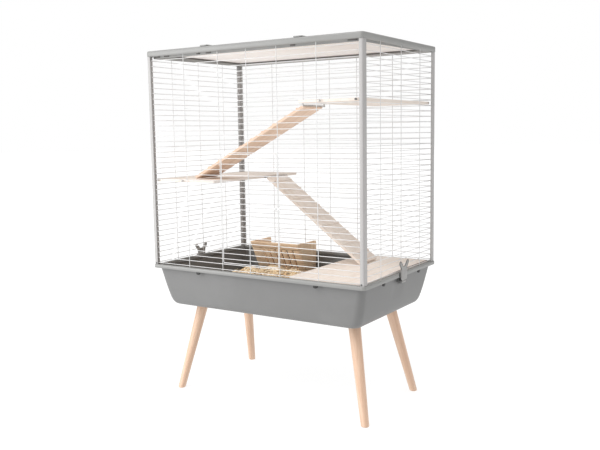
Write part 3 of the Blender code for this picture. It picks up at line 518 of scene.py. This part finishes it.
# ---------------------------------------------------------------- frame mouldings
def moulding(bm, section, hx, hy, radius, arc=8):
    """Closed (inset, height) section run round a rounded rectangle."""
    rings = []
    for inset, z in section:
        plan = corner_ring(hx - inset, hy - inset, max(radius - inset, 0.0012), arc)
        rings.append([(x, y, z) for x, y in plan])
    skin(bm, rings, closed=True)


def build_frames():
    """Lower and upper mouldings, with a dark strip, a pale facing and dark slot marks under the roof,
    painted shade and painted light.
    """
    hi = BOX["base_frame"][1]
    z0, z1 = 0.4200, hi.z
    section = ((0.0, z0 + 0.0005), (0.0, z1 - 0.0030), (0.0003, z1 - 0.0019), (0.0010, z1 - 0.0008),
               (0.0021, z1 - 0.0001), (0.0032, z1), (0.0142, z1), (0.0148, z1 - 0.0002),
               (0.0150, z1 - 0.0008), (0.0150, 0.4252), (0.0146, 0.4248), (0.0040, 0.4248),
               (0.0036, 0.4244), (0.0036, z0 + 0.0003), (0.0032, z0), (0.0005, z0))
    bm = bmesh.new()
    moulding(bm, section, hi.x, hi.y, FRAME_CORNER)
    piece("base_moulding", bm, RAIL_PLASTIC, "cage", ("base_frame",), sharp=45.0)

    hi = BOX["top_frame"][1]
    z1 = hi.z
    section = ((0.0, 1.1034), (0.0, z1 - 0.0042), (0.0003, z1 - 0.0026), (0.0009, z1 - 0.0014),
               (0.0019, z1 - 0.0005), (0.0032, z1), (0.0104, z1), (0.0109, z1 - 0.0003),
               (0.0110, z1 - 0.0010), (0.0110, 1.1138), (0.0114, 1.1132), (0.0186, 1.1132),
               (0.0190, 1.1128), (0.0190, 1.0964), (0.0187, 1.0960), (0.0173, 1.0960),
               (0.0170, 1.0964), (0.0170, 1.1026), (0.0166, 1.1030), (0.0004, 1.1030))
    bm = bmesh.new()
    moulding(bm, section, hi.x, hi.y, FRAME_CORNER)
    for v in bm.verts:
        if v.co.z < 1.0970 and v.co.y > 0.0:
            v.co.z += 0.0064
    piece("top_moulding", bm, RAIL_PLASTIC, "cage", ("top_frame",), sharp=45.0)

    # near-black strip on the inner face of the ledge, under the roof board: painted shade for the gap
    # there
    shade_strip = ((0.0189, 1.1088), (0.0189, 1.1130), (0.0196, 1.1130), (0.0199, 1.1126),
            (0.0199, 1.1092), (0.0196, 1.1088))
    bm = bmesh.new()
    moulding(bm, shade_strip, hi.x, hi.y, FRAME_CORNER)
    piece("roof_ledge_shade", bm, PAINTED_SHADE_DARK, "cage")
    # pale facing under the dark strip at the back, lighter than the frame: painted light for the lit
    # inner face there
    bm = bmesh.new()
    inner_x, inner_y = hi.x - 0.0190, hi.y - 0.0190
    block(bm, (-inner_x, inner_y - 0.0006, 1.1030), (inner_x, inner_y + 0.0004, 1.1086), 0.0003, 2)
    piece("back_facing_painted_light", bm, POST_PLASTIC, "cage")

    # small near-black blocks under the front of the upper frame: painted shade for the shaded catch
    # slots there
    bm = bmesh.new()
    for x, half in ((-0.360, 0.012), (-0.318, 0.010), (-0.188, 0.006), (-0.148, 0.009),
                    (0.160, 0.008), (0.352, 0.014)):
        y = 0.0150 - hi.y
        block(bm, (x - half, y - 0.0018, 1.0988), (x + half, y + 0.0018, 1.1026), 0.0008)
    piece("slot_marks_shade", bm, PAINTED_SHADE_DARK, "cage")


def build_posts():
    """Folded angle posts with a rounded outer corner and eased edges."""
    for row, sy in (("front", -1.0), ("back", 1.0)):
        for side, sx in (("left", -1.0), ("right", 1.0)):
            name = "post_%s_%s" % (row, side)
            lo, hi = BOX[name]
            wx, wy, t, r = hi.x - lo.x, hi.y - lo.y, 0.003, 0.0022
            outline = [(r * (1 - math.sin(math.radians(a))), r * (1 - math.cos(math.radians(a))))
                       for a in (90, 67, 45, 22, 0)]
            outline += [(wx - 0.0008, 0.0), (wx - 0.0002, 0.0003), (wx, 0.0010), (wx, t - 0.0006),
                        (wx - 0.0006, t), (t + 0.0009, t), (t, t + 0.0009), (t, wy - 0.0006),
                        (t - 0.0006, wy), (0.0010, wy), (0.0003, wy - 0.0002), (0.0, wy - 0.0008)]
            corner = Vector((sx * max(abs(lo.x), abs(hi.x)), sy * max(abs(lo.y), abs(hi.y)), 0.0))
            bm = bmesh.new()
            rings = []
            for z in (lo.z, hi.z):
                rings.append([(corner.x - sx * u, corner.y - sy * v, z) for u, v in outline])
            skin(bm, rings)
            piece("corner_" + name, bm, POST_PLASTIC, "cage", (name,), sharp=50.0)

            lo, hi = BOX["post_screw_%s_%s" % (row, side)]
            mid = (lo + hi) / 2.0
            bm = bmesh.new()
            lathe(bm, ((0.0, 0.0013), (0.0010, 0.0012), (0.0011, 0.0006), (0.0016, 0.0012),
                       (0.0024, 0.0006), (0.0026, 0.0), (0.0026, -0.0004), (0.0, -0.0004)), 20,
                  (mid.x, sy * min(abs(lo.y), abs(hi.y)), mid.z), (0.0, sy, 0.0))
            piece("foot_screw_%s_%s" % (row, side), bm, DARK_STEEL, "cage",
                  ("post_screw_%s_%s" % (row, side),))


# ---------------------------------------------------------------- wires
def row_z(k):
    """Height of a row of horizontal wires."""
    return BOX["grille_back"][0].z + 0.0051 + ROW_PITCH * k


def build_grille(name, horizontals, uprights, flat, out, along, hinge=None):
    """Welded wires: horizontals in the plane, uprights a wire further out but for the hinge."""
    bm = bmesh.new()
    for k in range(ROWS):
        z = row_z(k)
        for a, b in horizontals(k):
            if along == "x":
                tube(bm, ((a, flat, z), (b, flat, z)), WIRE_R, 10)
            else:
                tube(bm, ((flat, a, z), (flat, b, z)), WIRE_R, 10)
    for u, spans in uprights:
        plane = flat if u == hinge else flat + out * (WIRE_R + UPRIGHT_R - 0.0004)
        for z0, z1 in spans:
            if along == "x":
                tube(bm, ((u, plane, z0), (u, plane, z1)), UPRIGHT_R, 12)
            else:
                tube(bm, ((plane, u, z0), (plane, u, z1)), UPRIGHT_R, 12)
    piece("wires_" + name, bm, WIRE_COAT, "cage", (name,), sharp=60.0)


def build_grilles():
    """Four grilles; the rows of the front one stop at the doorway."""
    lo, hi = BOX["grille_front"]
    z0, z1 = lo.z + 0.0004, hi.z + 0.0022
    half = hi.x
    row0, row1 = DOOR_ROWS
    door = LONG_UPRIGHTS[3]

    def front_spans(k):
        if row0 < k < row1:
            return ((-half, -door - 0.0008), (door + 0.0008, half))
        return ((-half, half),)

    full = ((z0, z1),)
    broken = ((z0, row_z(row0) + 0.0012), (row_z(row1) - 0.0012, z1))
    front = [(u, broken if abs(u) < 0.01 else full) for u in LONG_UPRIGHTS]
    flat = (lo.y + hi.y) / 2.0
    build_grille("grille_front", front_spans, front, flat, -1.0, "x", LONG_UPRIGHTS[1])
    build_grille("grille_back", lambda k: ((-half, half),), [(u, full) for u in LONG_UPRIGHTS],
                 -flat, 1.0, "x")
    side_half = BOX["grille_right"][1].y
    flat_x = (BOX["grille_right"][0].x + BOX["grille_right"][1].x) / 2.0
    for name, side in (("grille_left", -1.0), ("grille_right", 1.0)):
        build_grille(name, lambda k: ((-side_half, side_half),),
                     [(u, full) for u in SHORT_UPRIGHTS], side * flat_x, side, "y")


def build_door():
    """Door of the same wire with a bent edge frame, two eyes round the grille upright."""
    lo, hi = BOX["grille_front"]
    flat = (lo.y + hi.y) / 2.0
    row0, row1 = DOOR_ROWS
    z0, z1 = row_z(row0) + 0.0045, row_z(row1) - 0.0045
    bm = bmesh.new()
    plane = flat - (WIRE_R + UPRIGHT_R - 0.0004)
    for k in range(row0 + 1, row1):
        tube(bm, ((-DOOR_EDGE, flat, row_z(k)), (DOOR_EDGE, flat, row_z(k))), WIRE_R, 10)
    tube(bm, ((0.0, plane, z0), (0.0, plane, z1)), UPRIGHT_R, 12)
    rim = [(0.02, flat, z0), (DOOR_EDGE, flat, z0), (DOOR_EDGE, flat, z1), (-DOOR_EDGE, flat, z1),
           (-DOOR_EDGE, flat, z0), (0.019, flat, z0)]
    tube(bm, rounded_path(rim, 0.004, 5), UPRIGHT_R * 1.08, 12)
    axis_x = LONG_UPRIGHTS[1]
    for k in (row0 + 3, row1 - 4):
        for dz in (-0.0030, 0.0030):
            z = row_z(k) + ROW_PITCH / 2.0 + dz
            eye = arc_points(axis_x, flat, 0.0026, 0.0026, 60.0, 300.0, 12)
            loop = [(-DOOR_EDGE + 0.0006, flat)] + eye
            tube(bm, [(x, y, z) for x, y in loop], 0.0008, 8)
    piece("door_wires", bm, WIRE_COAT, "door_body", ("door",), sharp=60.0)

    lo, hi = BOX["door_latch"]
    z = (lo.z + hi.z) / 2.0
    x = 0.0990
    y = lo.y + 0.0026
    outline = arc_points(0.0, 0.0, 0.0050, 0.0052, 90.0, 180.0, 8)
    outline += arc_points(0.0145, 0.0, 0.0022, 0.0028, -60.0, 120.0, 6)
    bm = bmesh.new()
    prism(bm, outline, 0.0020, facing_front(x, y, z), 0.0006)
    lathe(bm, ((0.0, 0.0030), (0.0018, 0.0028), (0.0028, 0.0020), (0.0031, 0.0008),
               (0.0028, -0.0002), (0.0, -0.0002)), 20, (x, y - 0.0010, z), (0.0, -1.0, 0.0))
    piece("door_finger_catch", bm, WIRE_COAT, "door_latch_body", ("door_latch",))


# ---------------------------------------------------------------- side catches
def fork_outline():
    """Catch seen from the side: a waisted body whose two prongs curl outwards."""
    right = [(0.0138, 0.4086), (0.0140, 0.4110), (0.0188, 0.4128), (0.0195, 0.4150),
             (0.0188, 0.4300), (0.0184, 0.4420), (0.0200, 0.4490), (0.0245, 0.4540),
             (0.0292, 0.4585), (0.0306, 0.4625), (0.0296, 0.4665), (0.0262, 0.4688),
             (0.0222, 0.4680), (0.0190, 0.4655), (0.0150, 0.4600), (0.0110, 0.4545),
             (0.0060, 0.4515), (0.0020, 0.4508)]
    left = [(-u, v) for u, v in reversed(right)]
    return right + left


def build_catches():
    """Forked side catches on their pins, the brackets on the tub and the hooks on the cage."""
    for side, sx in (("left", -1.0), ("right", 1.0)):
        lo, hi = BOX["latch_" + side]
        outer = sx * max(abs(lo.x), abs(hi.x))
        axis = Vector((sx * CATCH_AXIS[0], 0.0, CATCH_AXIS[1]))
        body = "latch_%s_body" % side
        bm = bmesh.new()
        prism(bm, fork_outline(), 0.0028, facing_side(outer - sx * 0.0014, 0.0, 0.0), 0.0008, 2)
        lathe(bm, ((0.0022, 0.0139), (0.0036, 0.0139), (0.0040, 0.0134), (0.0040, -0.0134),
                   (0.0036, -0.0139), (0.0022, -0.0139)), 28, axis, (0, 1, 0), True)
        x0, x1 = sorted((outer, outer - sx * 0.0002))
        for y in (-0.0115, 0.0, 0.0115):
            block(bm, (x0 - 0.0004, y - 0.0007, 0.4130), (x1 + 0.0004, y + 0.0007, 0.4400), 0.0004, 2)
        piece("side_catch_" + side, bm, CATCH_PLASTIC, body, ("latch_" + side,))
        rim = [(outer - sx * 0.0002, u, v) for u, v in fork_outline() if v > 0.4400]
        bm = bmesh.new()
        tube(bm, rounded_path(rim, 0.002, 3), 0.0009, 8)
        piece("side_catch_edge_" + side, bm, CATCH_EDGE, body)

        lo, hi = BOX["latch_bracket_" + side]
        bm = bmesh.new()
        inner = sx * min(abs(lo.x), abs(hi.x))
        x0, x1 = sorted((inner, inner + sx * 0.002))
        block(bm, (x0, -0.018, 0.3980), (x1, 0.018, 0.4150), 0.0008)
        x0, x1 = sorted((inner + sx * 0.0002, sx * 0.3970))
        for y in (-0.0165, 0.0165):
            block(bm, (x0, y - 0.0015, 0.4010), (x1, y + 0.0015, 0.4090), 0.0010)
        tube(bm, (axis + Vector((0, -0.0178, 0)), axis + Vector((0, 0.0178, 0))), 0.0016, 16)
        piece("catch_bracket_" + side, bm, TUB_PLASTIC, "stand",
              ("latch_bracket_" + side,))
        bm = bmesh.new()
        x = sx * 0.3940
        hook = [(x, -0.0235, 0.4335), (x + sx * 0.0012, -0.0262, 0.4300), (x, -0.0272, 0.4240),
                (x - sx * 0.0004, -0.0262, 0.4170), (x - sx * 0.0008, -0.0245, 0.4120)]
        tube(bm, rounded_path(hook, 0.004, 4), 0.0012, 10)
        lathe(bm, ((0.0, 0.0020), (0.0016, 0.0014), (0.0021, 0.0), (0.0016, -0.0014),
                   (0.0, -0.0020)), 14, hook[-1], (0, 0, 1))
        piece("catch_hook_" + side, bm, DARK_PLASTIC, "cage")


# ---------------------------------------------------------------- roof
def build_roof():
    """Roof board with two strap hinges at the back and two turn buttons at the front."""
    lo, hi = BOX["roof_board"]
    bm = bmesh.new()
    block(bm, lo, hi, 0.0012)
    panel = piece("roof_panel", bm, ROOF_PAINTED_LIGHT_WOOD, "roof", ("roof_board",))
    # only the top face gets the plain wood, the rest the paler copy: painted light on the shaded
    # faces
    panel.data.materials.append(PALE_WOOD)
    for face in panel.data.polygons:
        if face.normal.z > 0.5:
            face.material_index = 1      # the upper face keeps the plain shelf wood; the underside and edges take a paler copy, painted light for the underside's shade
    for side in ("left", "right"):
        lo, hi = BOX["roof_hinge_" + side]
        x0, x1 = lo.x, hi.x
        axis_y, axis_z = ROOF_AXIS
        bm = bmesh.new()
        block(bm, (x0, lo.y, lo.z), (x1, lo.y + 0.0190, 1.1215), 0.0010)
        block(bm, (x0, lo.y, 1.1206), (x1, axis_y, 1.1230), 0.0009)
        mid = (x0 + x1) / 2.0
        for a, b in ((x0, x0 + 0.0095), (x0 + 0.0100, x1 - 0.0100), (x1 - 0.0095, x1)):
            half = (b - a) / 2.0
            lathe(bm, ((0.0, half), (0.0027, half), (0.0032, half - 0.0005),
                       (0.0032, 0.0005 - half), (0.0027, -half), (0.0, -half)), 24,
                  ((a + b) / 2.0, axis_y, axis_z), (1, 0, 0))
        for dx in (-0.0095, 0.0095):
            lathe(bm, ((0.0, 0.0010), (0.0014, 0.0009), (0.0024, 0.0004), (0.0026, -0.0006),
                       (0.0, -0.0006)), 18, (mid + dx, lo.y + 0.0095, 1.1230), (0, 0, 1))
        piece("roof_strap_hinge_" + side, bm, RAIL_PLASTIC, "roof",
              ("roof_hinge_" + side,))

        lo, hi = BOX["roof_button_" + side]
        mid = (lo + hi) / 2.0
        bm = bmesh.new()
        place = Matrix.Translation((mid.x, (lo.y + hi.y) / 2.0 - 0.0008, hi.z - 0.0015))
        prism(bm, corner_ring(0.0150, 0.0150, 0.0050, 6), 0.0030, place, 0.0012, 3)
        lathe(bm, ((0.0, hi.z - 0.0005), (0.0058, hi.z - 0.0008), (0.0060, lo.z + 0.0003),
                   (0.0, lo.z + 0.0003)), 28, (mid.x, -0.2195, 0.0), (0, 0, 1))
        block(bm, (mid.x - 0.0105, -0.2395, hi.z - 0.0006), (mid.x + 0.0105, -0.2370, hi.z + 0.0008),
              0.0006)
        piece("roof_turn_button_" + side, bm, RAIL_PLASTIC, "roof_button_%s_body" % side,
              ("roof_button_" + side,))


# ---------------------------------------------------------------- shelves, platform, ramps
def board(name, node_name, body, place, radius=0.006):
    """Board with rounded corners and eased edges."""
    lo, hi = BOX[node_name]
    mid = (lo + hi) / 2.0
    size = hi - lo
    bm = bmesh.new()
    prism(bm, corner_ring(size.x / 2.0, size.y / 2.0, radius, 6), size.z,
          Matrix.Translation(mid), 0.0010, 2)
    return piece(name, bm, PALE_WOOD, body, (node_name,), place)


def build_shelves():
    """Two shelves on headed pins, and the low platform with its dark edge band."""
    board("shelf_board_upper", "shelf_upper", "cage", GRAIN_Y)
    board("shelf_board_middle", "shelf_middle", "cage", GRAIN_Y)
    board("platform_board", "platform", "stand", GRAIN_Y, 0.016)
    lo, hi = BOX["platform"]
    bm = bmesh.new()
    rings = []
    for k in range(25):
        t = k / 24.0
        y = -0.2000 + 0.4200 * t
        top = hi.z + 0.0001 + 0.0030 * min(1.0, 2.0 * t)
        rings.append([(hi.x - 0.0018, y, hi.z - 0.0006), (hi.x - 0.0006, y, hi.z - 0.0006),
                      (hi.x - 0.0006, y, top), (hi.x - 0.0018, y, top)])
    skin(bm, rings)
    piece("platform_edge_band", bm, RIM_WOOD, "stand", (), GRAIN_Y)
    for label in ("upper_inner", "upper_outer", "middle_inner", "middle_outer"):
        for row, sy in (("front", -1.0), ("back", 1.0)):
            name = "shelf_bolt_%s_%s" % (label, row)
            lo, hi = BOX[name]
            mid = (lo + hi) / 2.0
            y = sy * min(abs(lo.y), abs(hi.y))
            bm = bmesh.new()
            lathe(bm, ((0.0, 0.0086), (0.0014, 0.0085), (0.0024, 0.0081), (0.0030, 0.0073),
                       (0.0031, 0.0066), (0.0031, 0.0060), (0.0027, 0.0055), (0.0019, 0.0054),
                       (0.0019, 0.0), (0.0, 0.0)), 24, (mid.x, y, mid.z), (0.0, sy, 0.0))
            metal = DARK_STEEL if label == "upper_outer" else STEEL
            piece("board_bolt_%s_%s" % (label, row), bm, metal, "cage", (name,))


def ramp_frame(node_name, rod, sx):
    """Local frame of a ramp: origin on its rod, X down the slope, Z out of its top face."""
    lo, hi = BOX[node_name]
    foot_x = lo.x if sx < 0 else hi.x
    foot = Vector((foot_x, 0.0, lo.z + 0.0040))
    top = Vector((rod[0], 0.0, rod[1]))
    along = (foot - top).normalized()
    across = Vector((0.0, 1.0, 0.0))
    up = along.cross(across)
    if up.z < 0.0:
        across = -across
        up = along.cross(across)
    mid_y = (lo.y + hi.y) / 2.0
    place = Matrix((along, across, up)).transposed().to_4x4()
    place.translation = Vector((top.x, mid_y, top.z))
    return place, (foot - top).length, (hi.y - lo.y) / 2.0


def build_ramp(label, rod, sx, body):
    """Ramp board with cross strips, hung from a bent steel rod; sx is the way it runs down."""
    name = "ramp_" + label
    place, run, half = ramp_frame(name, rod, sx)
    bm = bmesh.new()
    start = 0.0037
    outline = [(start, -half), (run - 0.0060, -half), (run - 0.0016, -half + 0.0016),
               (run, -half + 0.0060), (run, half - 0.0060), (run - 0.0016, half - 0.0016),
               (run - 0.0060, half), (start, half)]
    prism(bm, outline, 0.0080, Matrix.Identity(4), 0.0009, 2)
    count = int((run - 0.05) / RUNG_PITCH)
    for i in range(count + 1):
        s = 0.028 + RUNG_PITCH * i
        strip = [(-0.0035, 0.0), (-0.0035, 0.0017), (-0.0026, 0.0027), (-0.0012, 0.0031),
                 (0.0012, 0.0031), (0.0026, 0.0027), (0.0035, 0.0017), (0.0035, 0.0)]
        rings = [[(s + u, y, 0.0038 + v) for u, v in strip]
                 for y in (-half + 0.0020, half - 0.0020)]
        skin(bm, rings)
    bmesh.ops.transform(bm, matrix=place, verts=bm.verts)
    # the upper ramp, seen from below, takes the darker copy: painted shade on its underside
    board_wood = RAMP_PAINTED_SHADE_WOOD if label == "upper" else PALE_WOOD
    piece("ramp_board_" + label, bm, board_wood, body, (name,), place)

    # bent steel rod with a hook at each end
    lo, hi = BOX["ramp_rod_" + label]
    x, z = rod
    y0, y1 = lo.y + 0.0020, hi.y - 0.0020
    bm = bmesh.new()
    if label == "upper":
        ends = [(x, y, BOX["shelf_upper"][0].z - 0.0002) for y in (y0, y1)]
    else:
        ends = [(BOX["shelf_middle"][1].x + 0.0003, y, z) for y in (y0, y1)]
    tube(bm, rounded_path((ends[0], (x, y0, z), (x, y1, z), ends[1]), 0.004, 5), 0.0020, 14)
    for y in (y0, y1):
        lathe(bm, ((0.0, 0.0026), (0.0020, 0.0024), (0.0028, 0.0015), (0.0030, 0.0),
                   (0.0028, -0.0015), (0.0020, -0.0024), (0.0, -0.0026)), 18,
              (x, y, z), (0, 1, 0))
    piece("ramp_hook_rod_" + label, bm, STEEL, "cage", ("ramp_rod_" + label,))


# ---------------------------------------------------------------- hay rack
def build_rack():
    """Hay rack: a slatted leaning board, two cheeks, a floor and a back rail."""
    lo, hi = BOX["rack_front"]
    up = (RACK_HEAD - RACK_FOOT).normalized()
    back = Vector((0.0, up.z, -up.y))
    length = (RACK_HEAD - RACK_FOOT).length
    thick = RACK_T
    mid_x = (lo.x + hi.x) / 2.0
    half = (hi.x - lo.x) / 2.0
    base = Vector((mid_x, RACK_FOOT.y, lo.z))
    place = Matrix((Vector((1, 0, 0)), up, -back)).transposed().to_4x4()
    place.translation = base + back * thick / 2.0

    # slatted board: bars between the slots, joined by a lower and an upper band
    bm = bmesh.new()
    slot_lo, slot_hi = length - 0.1040, length - 0.0250
    block(bm, (-half, 0.0, -thick / 2), (half, slot_lo, thick / 2), 0.0009)
    block(bm, (-half, slot_hi, -thick / 2), (half, length, thick / 2), 0.0009)
    edges = [-half] + [(i - (RACK_SLOTS - 1) / 2.0) * SLOT_PITCH + SLOT_SHIFT + s * 0.0036
                       for i in range(RACK_SLOTS) for s in (-1, 1)] + [half]
    for a, b in zip(edges[::2], edges[1::2]):
        block(bm, (a, slot_lo - 0.004, -thick / 2), (b, slot_hi + 0.004, thick / 2), 0.0007, 2)
    bmesh.ops.transform(bm, matrix=place, verts=bm.verts)
    piece("rack_slats", bm, RACK_WOOD, "hay_rack", ("rack_front",), place)

    for side in ("left", "right"):
        name = "rack_cheek_" + side
        lo, hi = BOX[name]
        inner = base + back * (thick + 0.0003)
        low = inner + up * 0.006
        high = inner + up * (length - 0.001)
        outline = [(low.y, low.z), (0.2000, 0.3035), (0.2045, 0.3070), (0.2075, 0.3120),
                   (0.2105, 0.3190), (0.2125, 0.3270), (0.2160, 0.3500), (0.2200, 0.3850),
                   (0.2224, 0.4150), (0.2226, 0.4665), (0.2218, 0.4695), (0.2195, 0.4714),
                   (0.2140, 0.4720), (0.1900, 0.4716), (high.y, high.z)]
        bm = bmesh.new()
        prism(bm, outline, thick, facing_side((lo.x + hi.x) / 2.0, 0.0, 0.0), 0.0009, 2)
        piece("rack_side_" + side, bm, RACK_WOOD, "hay_rack", (name,), GRAIN_Z)
    for name, label in (("rack_base", "rack_floor"), ("rack_back_rail", "rack_rail")):
        lo, hi = BOX[name]
        bm = bmesh.new()
        inset = 0.003 if name == "rack_base" else 0.0
        block(bm, lo + Vector((0, inset, 0)), hi - Vector((0, inset, 0)), 0.0010)
        wood_kind = RACK_WOOD if name == "rack_base" else RIM_WOOD
        piece(label, bm, wood_kind, "hay_rack", (name,))


# ---------------------------------------------------------------- bedding
def heap_box():
    """Corners of the loose heap, from the solid mound."""
    lo, hi = BOX["hay_heap"]
    return Vector((lo.x - HAY_REACH, lo.y, lo.z)), Vector((hi.x, hi.y, hi.z - HAY_LOWER))


def heap_height(x, y):
    """Top of the heap, following the CAD mound."""
    lo, hi = heap_box()
    u = (x - (lo.x + hi.x) / 2.0) / ((hi.x - lo.x) / 2.0)
    w = (y - (lo.y + hi.y) / 2.0) / ((hi.y - lo.y) / 2.0)
    rad = min(1.0, math.hypot(u, w) * 0.95)
    lumps = 0.006 * math.sin(23.0 * x / 0.35 + 1.3) * math.cos(19.0 * y / 0.28)
    lumps += 0.004 * math.sin(61.0 * x + 40.0 * y)
    return lo.z + (hi.z - lo.z - 0.004) * (1.0 - rad ** 5.0) + lumps * (1.0 - rad ** 6.0)


def build_bedding():
    """Heap of loose strands on a rough mound."""
    rng = random.Random(11)
    lo, hi = heap_box()
    mid = (lo + hi) / 2.0
    sx, sy = (hi.x - lo.x) / 2.0, (hi.y - lo.y) / 2.0
    bm = bmesh.new()
    rings = []
    steps = 64
    for r in (1.0, 1.0, 0.94, 0.85, 0.72, 0.58, 0.42, 0.26, 0.10):
        ring = []
        for i in range(steps):
            a = math.tau * i / steps
            c, s = math.cos(a), math.sin(a)
            square = 1.0 / max(abs(c), abs(s)) ** 0.45
            x = mid.x + sx * 0.92 * r * c * square * 0.93
            y = mid.y + sy * 0.92 * r * s * square * 0.93
            z = heap_height(x, y) - 0.004
            ring.append((x, y, lo.z if not rings else max(lo.z + 0.002, z)))
        rings.append(ring)
    skin(bm, rings)
    piece("bedding_mound", bm, DEEP_BEDDING, "stand", ("hay_heap",), sharp=80.0)

    bm = bmesh.new()
    for _ in range(HAY_STRANDS):
        r = math.sqrt(rng.random()) * 0.97
        a = rng.random() * math.tau
        x = mid.x + sx * 0.95 * r * math.cos(a)
        y = mid.y + sy * 0.95 * r * math.sin(a)
        heading = rng.random() * math.tau
        length = rng.uniform(0.014, 0.044)
        curl = rng.uniform(-2.2, 2.2)
        width = rng.uniform(0.0009, 0.0030)
        lift = rng.uniform(-0.002, 0.005)
        tilt = rng.uniform(-0.35, 0.35)
        steps = 6
        rings = []
        px, py = x, y
        for k in range(steps + 1):
            t = k / steps
            way = heading + curl * t
            px += math.cos(way) * length / steps
            py += math.sin(way) * length / steps
            px = min(max(px, lo.x + 0.002), hi.x - 0.002)
            py = min(max(py, lo.y + 0.002), hi.y - 0.002)
            top = heap_height(px, py) + lift + tilt * length * (t - 0.5)
            pz = min(max(top, lo.z + 0.001), hi.z + 0.004)
            side = Vector((-math.sin(way), math.cos(way), 0.25 * math.sin(7.0 * t + a)))
            w = width * (0.35 + 0.65 * math.sin(math.pi * min(1.0, 0.08 + 0.84 * t)))
            c = Vector((px, py, pz))
            rings.append([c + side * w, c - side * w, c + Vector((0, 0, width * 0.35))])
        skin(bm, rings)
    piece("bedding_strands", bm, BEDDING, "stand", sharp=80.0)


# ---------------------------------------------------------------- floor, light, camera
def build_stage():
    """Pale floor that reads as white, and a soft sky that is white to the camera."""
    mat, tree, bsdf = start_material("pale_floor")
    drift = noise(tree, stretched(tree, (1.0, 1.0, 1.0)), 0.8, 2.0)
    tree.links.new(ramp(tree, drift, ((0.3, (0.19, 0.19, 0.19)), (0.7, (0.21, 0.21, 0.21)))),
                   bsdf.inputs["Base Color"])
    bsdf.inputs["Roughness"].default_value = 0.9
    bsdf.inputs["Specular IOR Level"].default_value = 0.0
    bsdf.inputs["Emission Color"].default_value = (1.0, 1.0, 1.0, 1.0)
    bsdf.inputs["Emission Strength"].default_value = 0.86
    bm = bmesh.new()
    bmesh.ops.create_circle(bm, cap_ends=True, segments=96, radius=40.0)
    mesh = bpy.data.meshes.new("studio_floor")
    bm.to_mesh(mesh)
    bm.free()
    mesh.materials.append(mat)
    floor = bpy.data.objects.new("studio_floor", mesh)
    floor.location.z = -0.0002
    bpy.context.scene.collection.objects.link(floor)

    world = bpy.data.worlds.new("studio")
    world.use_nodes = True
    tree = world.node_tree
    back = tree.nodes["Background"]
    back.inputs["Color"].default_value = (1.0, 0.995, 0.99, 1.0)
    ray = tree.nodes.new("ShaderNodeTexCoord").outputs["Generated"]
    height = node(tree, "SeparateXYZ", Vector=ray)
    glow = node(tree, "MapRange", Value=height.outputs["Z"], From_Min=0.15, From_Max=0.95,
                To_Min=0.16, To_Max=1.25)
    tree.links.new(glow.outputs["Result"], back.inputs["Strength"])
    seen = tree.nodes.new("ShaderNodeBackground")
    seen.inputs["Color"].default_value = (1.0, 1.0, 1.0, 1.0)
    seen.inputs["Strength"].default_value = 1.0
    path = tree.nodes.new("ShaderNodeLightPath")
    mix = tree.nodes.new("ShaderNodeMixShader")
    tree.links.new(path.outputs["Is Camera Ray"], mix.inputs["Fac"])
    tree.links.new(back.outputs[0], mix.inputs[1])
    tree.links.new(seen.outputs[0], mix.inputs[2])
    tree.links.new(mix.outputs[0], tree.nodes["World Output"].inputs["Surface"])
    bpy.context.scene.world = world
    bpy.context.scene.view_settings.view_transform = "Standard"


def add_lamp(name, kind, towards, place=(0.0, 0.0, 0.0), **settings):
    """Lamp of a kind; towards points from the object to the lamp."""
    lamp = bpy.data.lights.new(name, kind)
    for key, value in settings.items():
        setattr(lamp, key, value)
    obj = bpy.data.objects.new(name, lamp)
    obj.location = place
    obj.rotation_mode = "QUATERNION"
    obj.rotation_quaternion = Vector(towards).to_track_quat("Z", "Y")
    bpy.context.scene.collection.objects.link(obj)


def build_camera():
    """Stands to the right of the front at about chest height, looking slightly down."""
    cam = bpy.data.cameras.new("camera")
    cam.lens = 45.134
    cam.sensor_width = 36.0
    cam.shift_x = -0.00338
    cam.shift_y = -0.00308
    cam.clip_start = 0.05
    cam.clip_end = 200.0
    obj = bpy.data.objects.new("camera", cam)
    turn = Matrix.Rotation(math.radians(32.805), 4, "Z")
    pitch = Matrix.Rotation(math.radians(83.113), 4, "X")
    roll = Matrix.Rotation(math.radians(-0.857), 4, "Z")
    obj.matrix_world = Matrix.Translation((1.3505, -2.0433, 0.8562)) @ turn @ pitch @ roll
    bpy.context.scene.collection.objects.link(obj)
    bpy.context.scene.camera = obj


build_camera()
build_stage()
add_lamp("key", "SUN", (-0.26, -0.66, 0.70), energy=1.35, angle=math.radians(40.0))
add_lamp("rim", "SUN", (0.85, 0.50, 0.20), energy=0.40, angle=math.radians(50.0))
add_lamp("soft_panel", "AREA", PANEL_AT - PANEL_AIM, PANEL_AT, shape="SQUARE", size=1.4, energy=33.0)
build_tub()
build_rim_slots()
build_legs()
build_frames()
build_posts()
build_grilles()
build_door()
build_catches()
build_roof()
build_shelves()
build_ramp("upper", UPPER_ROD, -1.0, "ramp_upper_body")
build_ramp("lower", LOWER_ROD, 1.0, "ramp_lower_body")
build_rack()
build_bedding()
